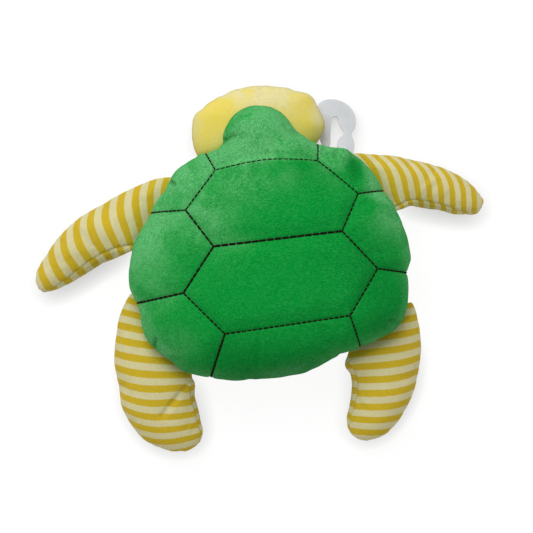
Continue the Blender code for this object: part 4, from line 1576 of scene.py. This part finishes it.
class TURTLE_OT_stitches(bpy.types.Operator):
    """Sews the shell's lines: one stitch is modelled, then laid along each line"""

    bl_idname = "turtle.stitches"
    bl_label = "Stitches"

    def execute(self, context):
        surface = surface_of(bpy.data.objects["shell"])
        places = []
        for path, width, length, gap in sewn_paths(surface):
            places += self.along(path, width, length, gap)
        stitches = lay_stitches("shell_stitches", places)
        finish_piece(stitches, black_thread())
        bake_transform(stitches)
        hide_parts("shell_topstitching")
        return {"FINISHED"}

    def along(self, path, width, length, gap):
        """Middle, way, up and size of each stitch of a line."""
        line = path[:, :3]
        run = np.concatenate([[0], np.cumsum(np.linalg.norm(np.diff(line, axis=0), axis=1))])
        count = max(1, round(run[-1] / (length + gap)))
        pitch = run[-1] / count
        found = []
        for index in range(count):
            shares = (index * pitch, (index + 0.5) * pitch, (index + 1) * pitch)
            first, middle, last = (
                np.array([np.interp(share, run, column) for column in line.T]) for share in shares
            )
            up = np.array([np.interp(shares[1], run, column) for column in path[:, 3:].T])
            up /= np.linalg.norm(up)
            way = last - first
            way -= up * way.dot(up)
            way /= np.linalg.norm(way)
            # Uneven hand: stitches differ a little in width, height and heading
            wobble = math.sin(7.3 * index + 90 * width + 31 * run[-1])
            way += np.cross(up, way) * 0.05 * wobble
            way /= np.linalg.norm(way)
            size = (
                (pitch - 0.6 * gap) / 2 * (1 + 0.04 * wobble),
                width / 2 * (1 - 0.1 * wobble),
                width / 2 * 0.8,
            )
            found.append((middle + up * width * 0.12, way, up, np.array(size)))
        return found


def model_stitch(name):
    """One stitch, a unit long each way from its middle, whose ends dive into the fabric."""
    deselect()
    bpy.ops.mesh.primitive_uv_sphere_add(segments=8, ring_count=7, radius=1, rotation=(0, math.pi / 2, 0))
    stitch = bpy.context.active_object
    stitch.name = name
    bpy.ops.object.transform_apply(location=False, rotation=True, scale=True)
    points = coordinates(stitch)
    along = points[:, 0].copy()
    # Fuller than a ball along its length, and bent down at both ends
    full = np.sqrt(np.maximum(1 - along**8, 0)) / np.sqrt(np.maximum(1 - along**2, 1e-6))
    points[:, 1:] *= np.minimum(full, 2.5)[:, None]
    points[:, 2] -= 0.55 * along**8
    set_coordinates(stitch, points)
    faces_outwards(stitch)
    return stitch


class TURTLE_OT_flippers(bpy.types.Operator):
    """Makes the four stuffed striped flippers, each with an upper and a lower panel"""

    bl_idname = "turtle.flippers"
    bl_label = "Flippers"

    def execute(self, context):
        material = striped_cotton()
        for name in FLIPPERS:
            flipper = self.loft(name)
            self.sew(flipper, name, context.scene.turtle_sizes)
            finish_piece(flipper, material)
            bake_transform(flipper)
            parts = (f"{name}_{part}" for part in ("upper_panel", "lower_panel", "filling"))
            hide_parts(*parts)
        return {"FINISHED"}

    def loft(self, name):
        """The flipper's sections, joined from its pinched root to its tip."""
        shape = FLIPPERS[name]
        hand = shape["hand"]
        rest = shape["thickness"] / 2
        rows = []
        for ends, (swell, droop) in zip(FLIPPER_SECTIONS[name], FLIPPER_SWELL):
            high = max(1.2, swell * rest) if swell else 0
            rows.append((*ends, droop * (rest - SEAM_LEVEL), high))
        rings = 72
        columns = 72
        line = smooth_line(rows)
        middle = (line[:, :2] + line[:, 2:4]) / 2
        run = np.concatenate([[0], np.cumsum(np.linalg.norm(np.diff(middle, axis=0), axis=1))])
        # Rings come closer together at the tip, where the outline turns
        shares = 1 - (1 - np.linspace(0, 1, rings + 1)) ** 1.5
        stations = np.stack([np.interp(shares * run[-1], run, column) for column in line.T], axis=1)
        seam = math.radians(shape["seam"]) * np.sin(math.pi * shares) ** 0.35
        half = columns // 2
        joint = JOINTS[name]
        root = np.array(joint["pos_m"])
        axis = np.array(joint["axis"])
        out = np.array((-axis[1], axis[0], 0))
        made = {}

        def place(ring, column):
            left = stations[ring, :2]
            right = stations[ring, 2:4]
            z, high = stations[ring, 4:].T
            ends = (ring == 0) | (ring == rings)
            spread = np.where(ends, 0, 0.5)
            lift = seam[ring]
            low = lift if hand < 0 else 0 * lift
            top = math.pi - (lift if hand > 0 else 0 * lift)
            upper = column <= half
            angle = np.where(
                upper,
                low + (top - low) * column / half,
                top + (math.tau + low - top) * (column - half) / half,
            )
            across = (left + right) / 2 + (right - left) * (spread * np.cos(angle))[:, None]
            height = z + np.where(ends, 0, np.maximum(high, 0)) * np.sin(angle)
            points = root + (axis * across[:, :1] + out * across[:, 1:]) * MM
            points[:, 2] += height * MM
            away = np.minimum(column % half, half - column % half)
            wide = np.linalg.norm(right - left, axis=1) * spread
            made["panel"] = np.where(upper, 1, -1) * away * wide * math.pi / half * MM
            made["along"] = shares[ring]
            made["hollow"] = smoothstep(-0.2, 0.3, -hand * np.cos(angle))
            return points

        flipper, ring, column = stuffed_form(name + "_flipper", columns, rings, place)
        set_attribute(flipper, "panel", made["panel"])
        set_attribute(flipper, "along", made["along"])
        set_attribute(flipper, "hollow", made["hollow"])
        sewn = (column % half == 0) | (ring < 6)
        stuff(flipper, sewn.astype(float), cap=0.0035)
        self.keep_outline(flipper, ring, stations, root, axis, out)
        relax(flipper, np.ones(len(ring)), 2, 0.3)
        subdivide(flipper, 1)
        return flipper

    def keep_outline(self, flipper, ring, stations, root, axis, out):
        """Brings the swollen sides of each ring back to the ends of its section."""
        points = coordinates(flipper)
        place = (points - root) / MM
        plan = np.column_stack([place @ axis, place @ out])
        reach = np.ones((len(stations), 2))
        middles = (stations[:, :2] + stations[:, 2:4]) / 2
        halves = np.linalg.norm(stations[:, 2:4] - stations[:, :2], axis=1) / 2
        ways = (stations[:, 2:4] - stations[:, :2]) / np.maximum(2 * halves, 1e-6)[:, None]
        spread = ((plan - middles[ring]) * ways[ring]).sum(axis=1)
        for index in range(1, len(stations) - 1):
            here = spread[ring == index]
            wanted = halves[index] + 0.4
            reach[index] = wanted / max(-here.min(), 1), wanted / max(here.max(), 1)
        for _ in range(2):
            reach[1:-1] = (reach[:-2] + 2 * reach[1:-1] + reach[2:]) / 4
        scale = np.where(spread < 0, reach[ring, 0], reach[ring, 1])
        shift = spread * (np.clip(scale, 0.7, 1.3) - 1)
        moved = ways[ring] * shift[:, None] * MM
        points += axis * moved[:, :1] + out * moved[:, 1:]
        set_coordinates(flipper, points)

    def sew(self, flipper, name, sizes):
        """Pulls in the seams, puckers the cloth beside them, and lays out the stripes."""
        points = coordinates(flipper)
        ways = normals(flipper)
        panel = attribute(flipper, "panel")
        along = attribute(flipper, "along")
        away = np.abs(panel)
        middle = smoothstep(0.0, 0.12, along) * smoothstep(1.0, 0.93, along)
        hollow = attribute(flipper, "hollow")
        sunk = sizes.seam_depth * (0.2 + 0.5 * hollow) * bell(away, 0.0014) * middle
        length = along * 95
        puckers = np.sin(length * 1.5) * np.sin(length * 0.53 + 0.7)
        sunk += 0.00016 * puckers * bell(away - 0.0030, 0.0026) * middle * hollow
        if name == "rear_left":
            fold = drop_on(surface_of(flipper), even_line(np.array(REAR_FOLD) * MM, 60))[:, :3]
            depth = bell(near_lines(points, [fold]), 0.0022)
            sunk += 0.0018 * depth
        points -= ways * sunk[:, None]
        points[:, 2] = np.maximum(points[:, 2], 0)
        set_coordinates(flipper, points)
        set_attribute(flipper, "stripe", self.phase(points * 1000, name))

    def phase(self, points, name):
        """The stripes' phase at each point: gold where it is near a whole number."""
        middle, terms = STRIPES[name]
        x, y = (points[:, :2] - middle).T / 30
        powers = (1, x, y, x * x, x * y, y * y, x**3, x * x * y, x * y * y, y**3)
        phase = sum(term * power for term, power in zip(terms, powers))
        if name == "rear_left":
            line = np.array(REAR_FOLD)
            way = (line[-1] - line[0]) / np.linalg.norm(line[-1] - line[0])
            beyond = (points[:, :2] - line[0]) @ np.array((-way[1], way[0]))
            along = (points[:, :2] - line[0]) @ way
            phase += REAR_FOLD_SHIFT * smoothstep(-2.4, 2.4, beyond) * smoothstep(38, 16, along)
        return phase


class TURTLE_OT_face(bpy.types.Operator):
    """Embroiders two oval eyes and a small smile on the front of the head"""

    bl_idname = "turtle.face"
    bl_label = "Face"

    def execute(self, context):
        sizes = context.scene.turtle_sizes
        material = bpy.data.materials.get("black_thread") or black_thread()
        surface = surface_of(bpy.data.objects["head"])
        for side, name in ((-1, "left_eye"), (1, "right_eye")):
            places = self.satin(surface, 0.001 + side * 0.020, 0.0118, sizes.eye_threads)
            eye = lay_stitches("embroidered_" + name, places)
            finish_piece(eye, material)
            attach(eye, "head")
            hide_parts(name)
        smile = lay_stitches("embroidered_smile", self.smile(surface))
        finish_piece(smile, material)
        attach(smile, "head")
        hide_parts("smile")
        return {"FINISHED"}

    def front(self, surface, x, z):
        hit, normal, _, _ = surface.ray_cast(Vector((x, 0.16, z)), Vector((0, -1, 0)))
        if hit is None:
            raise RuntimeError("the face doesn't meet the head")
        return np.array(hit), np.array(normal)

    def satin(self, surface, x, z, threads):
        """Threads that lie side by side over an oval."""
        places = []
        for index in range(threads):
            share = 2 * (index + 0.5) / threads - 1
            half = 0.0044 * math.sqrt(1 - share * share)
            level = z + share * 0.004
            left, normal = self.front(surface, x - half, level)
            right, other = self.front(surface, x + half, level)
            middle, up = self.front(surface, x, level)
            way = (right - left) / np.linalg.norm(right - left)
            size = np.array((np.linalg.norm(right - left) / 2, 0.0042 / threads, 0.0007))
            places.append((middle, way, up, size))
        return places

    def smile(self, surface):
        places = []
        count = 7
        line = []
        for step in range(count + 1):
            share = 2 * step / count - 1
            line.append(self.front(surface, 0.001 + share * 0.009, 0.0085 + 0.003 * share * share))
        for (first, up), (last, _) in zip(line, line[1:]):
            way = last - first
            length = np.linalg.norm(way)
            places.append(((first + last) / 2, way / length, up, np.array((length * 0.54, 0.0006, 0.0006))))
        return places


def lay_stitches(name, places):
    """One piece from a stitch laid at each place: its middle, way, up and size."""
    stitch = model_stitch("stitch")
    unit = coordinates(stitch)
    faces = [tuple(face.vertices) for face in stitch.data.polygons]
    bpy.data.objects.remove(stitch)
    points = []
    loops = []
    for middle, way, up, size in places:
        up = up - way * up.dot(way)
        up = up / np.linalg.norm(up)
        side = np.cross(up, way)
        loops += [tuple(index + len(unit) * len(points) for index in face) for face in faces]
        points.append(middle + unit * size @ np.array([way, side, up]))
    data = bpy.data.meshes.new(name)
    data.from_pydata(np.vstack(points).tolist(), [], loops)
    piece = bpy.data.objects.new(name, data)
    bpy.context.scene.collection.objects.link(piece)
    return piece


class TURTLE_OT_hook(bpy.types.Operator):
    """Makes the plastic hang hook and the tape loop that its eye bar turns in"""

    bl_idname = "turtle.hook"
    bl_label = "Hang hook and loop"

    def execute(self, context):
        sizes = context.scene.turtle_sizes
        edge = 0.0003
        curve = bpy.data.curves.new("hook_plate", "CURVE")
        curve.dimensions = "2D"
        curve.fill_mode = "BOTH"
        curve.extrude = sizes.hook_thickness / 2 - edge
        curve.bevel_depth = edge
        curve.bevel_resolution = 2
        curve.offset = -edge
        for outline, count in ((HOOK_EDGE, 260), (HOOK_EYE, 48)):
            line = even_line(np.array(outline) * MM, count, closed=True)
            spline = curve.splines.new("POLY")
            spline.points.add(count - 1)
            for point, (x, y) in zip(spline.points, line):
                point.co = (x, y, 0, 1)
            spline.use_cyclic_u = True
        hook = bpy.data.objects.new("hook_plate", curve)
        context.scene.collection.objects.link(hook)
        select(hook)
        bpy.ops.object.convert(target="MESH")
        hook = context.active_object
        hook.data.transform(HOOK_PLACE)
        select(hook)
        bpy.ops.object.mode_set(mode="EDIT")
        bpy.ops.mesh.select_all(action="SELECT")
        bpy.ops.mesh.remove_doubles(threshold=0.00001)
        bpy.ops.mesh.normals_make_consistent(inside=False)
        bpy.ops.object.mode_set(mode="OBJECT")
        finish_piece(hook, clear_plastic())
        bpy.ops.object.shade_smooth_by_angle(angle=math.radians(40))
        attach(hook, "hook")
        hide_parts("hang_hook")
        self.loop(context)
        return {"FINISHED"}

    def loop(self, context):
        """A flat tape, bent into a loop round the hook's eye bar, with its ends sewn in the seam."""
        bar = np.array(HOOK_PLACE.translation)
        side = np.array(HOOK_PLACE.col[0][:3])
        forward = np.array((-side[1], side[0], 0))
        up = np.array((0, 0, 1))
        radius = 0.0022
        rise = 0.0086
        stations = 64
        turns = np.linspace(0, math.tau, stations, endpoint=False)
        ring = np.column_stack([np.cos(turns), np.sin(turns)]) * radius
        ring[:, 1] += np.where(np.sin(turns) > 0, rise, 0) * smoothstep(-0.2, 0.2, np.sin(turns))
        columns = 13
        across = np.linspace(-1, 1, columns)
        points = []
        for x, y in ring:
            for share in across:
                rounding = 1 - 0.10 * abs(share) ** 6
                points.append(
                    bar + side * share * 0.0039 + forward * x * rounding + up * y
                )
        faces = []
        for row in range(stations):
            after = (row + 1) % stations
            for column in range(columns - 1):
                corner = row * columns + column
                beside = after * columns + column
                faces.append((corner, corner + 1, beside + 1, beside))
        data = bpy.data.meshes.new("tape_loop")
        data.from_pydata([tuple(point) for point in points], [], faces)
        loop = bpy.data.objects.new("tape_loop", data)
        context.scene.collection.objects.link(loop)
        surface = data.uv_layers.new(name="surface")
        length = 0.031
        for face in data.polygons:
            rows = [data.loops[index].vertex_index // columns for index in face.loop_indices]
            wraps = max(rows) == stations - 1 and min(rows) == 0
            for index, row in zip(face.loop_indices, rows):
                column = data.loops[index].vertex_index % columns
                run = (stations if wraps and row == 0 else row) / stations * length
                surface.data[index].uv = (run, across[column] * 0.0039)
        modify(loop, "SOLIDIFY", thickness=0.0007, offset=0.0)
        faces_outwards(loop)
        finish_piece(loop, white_tape())
        bpy.ops.object.shade_smooth_by_angle(angle=math.radians(50))
        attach(loop, "body")
        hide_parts("hang_loop")


class TURTLE_PT_panel(bpy.types.Panel):
    """Lists the turtle's pieces and their settings"""

    bl_idname = "TURTLE_PT_panel"
    bl_label = "Plush turtle"
    bl_space_type = "VIEW_3D"
    bl_region_type = "UI"
    bl_category = "Turtle"

    def draw(self, context):
        for kind in OPERATORS:
            self.layout.operator(kind.bl_idname)
        for settings in ("turtle_sizes", "turtle_colours", "turtle_stage"):
            group = getattr(context.scene, settings)
            box = self.layout.box()
            for name in type(group).__annotations__:
                box.prop(group, name)


SETTINGS = (
    ("turtle_sizes", TurtleSizes),
    ("turtle_colours", TurtleColours),
    ("turtle_stage", TurtleStage),
)
OPERATORS = (
    TURTLE_OT_stage,
    TURTLE_OT_head,
    TURTLE_OT_body,
    TURTLE_OT_stitches,
    TURTLE_OT_face,
    TURTLE_OT_flippers,
    TURTLE_OT_hook,
)


def register():
    for name, group in SETTINGS:
        bpy.utils.register_class(group)
        setattr(bpy.types.Scene, name, PointerProperty(type=group))
    for kind in (*OPERATORS, TURTLE_PT_panel):
        bpy.utils.register_class(kind)


def unregister():
    for kind in (TURTLE_PT_panel, *reversed(OPERATORS)):
        bpy.utils.unregister_class(kind)
    for name, group in reversed(SETTINGS):
        delattr(bpy.types.Scene, name)
        bpy.utils.unregister_class(group)


def main():
    register()
    bpy.ops.turtle.stage()
    bpy.ops.turtle.head()
    bpy.ops.turtle.body()
    bpy.ops.turtle.stitches()
    bpy.ops.turtle.face()
    bpy.ops.turtle.flippers()
    bpy.ops.turtle.hook()


if __name__ == "__main__":
    main()
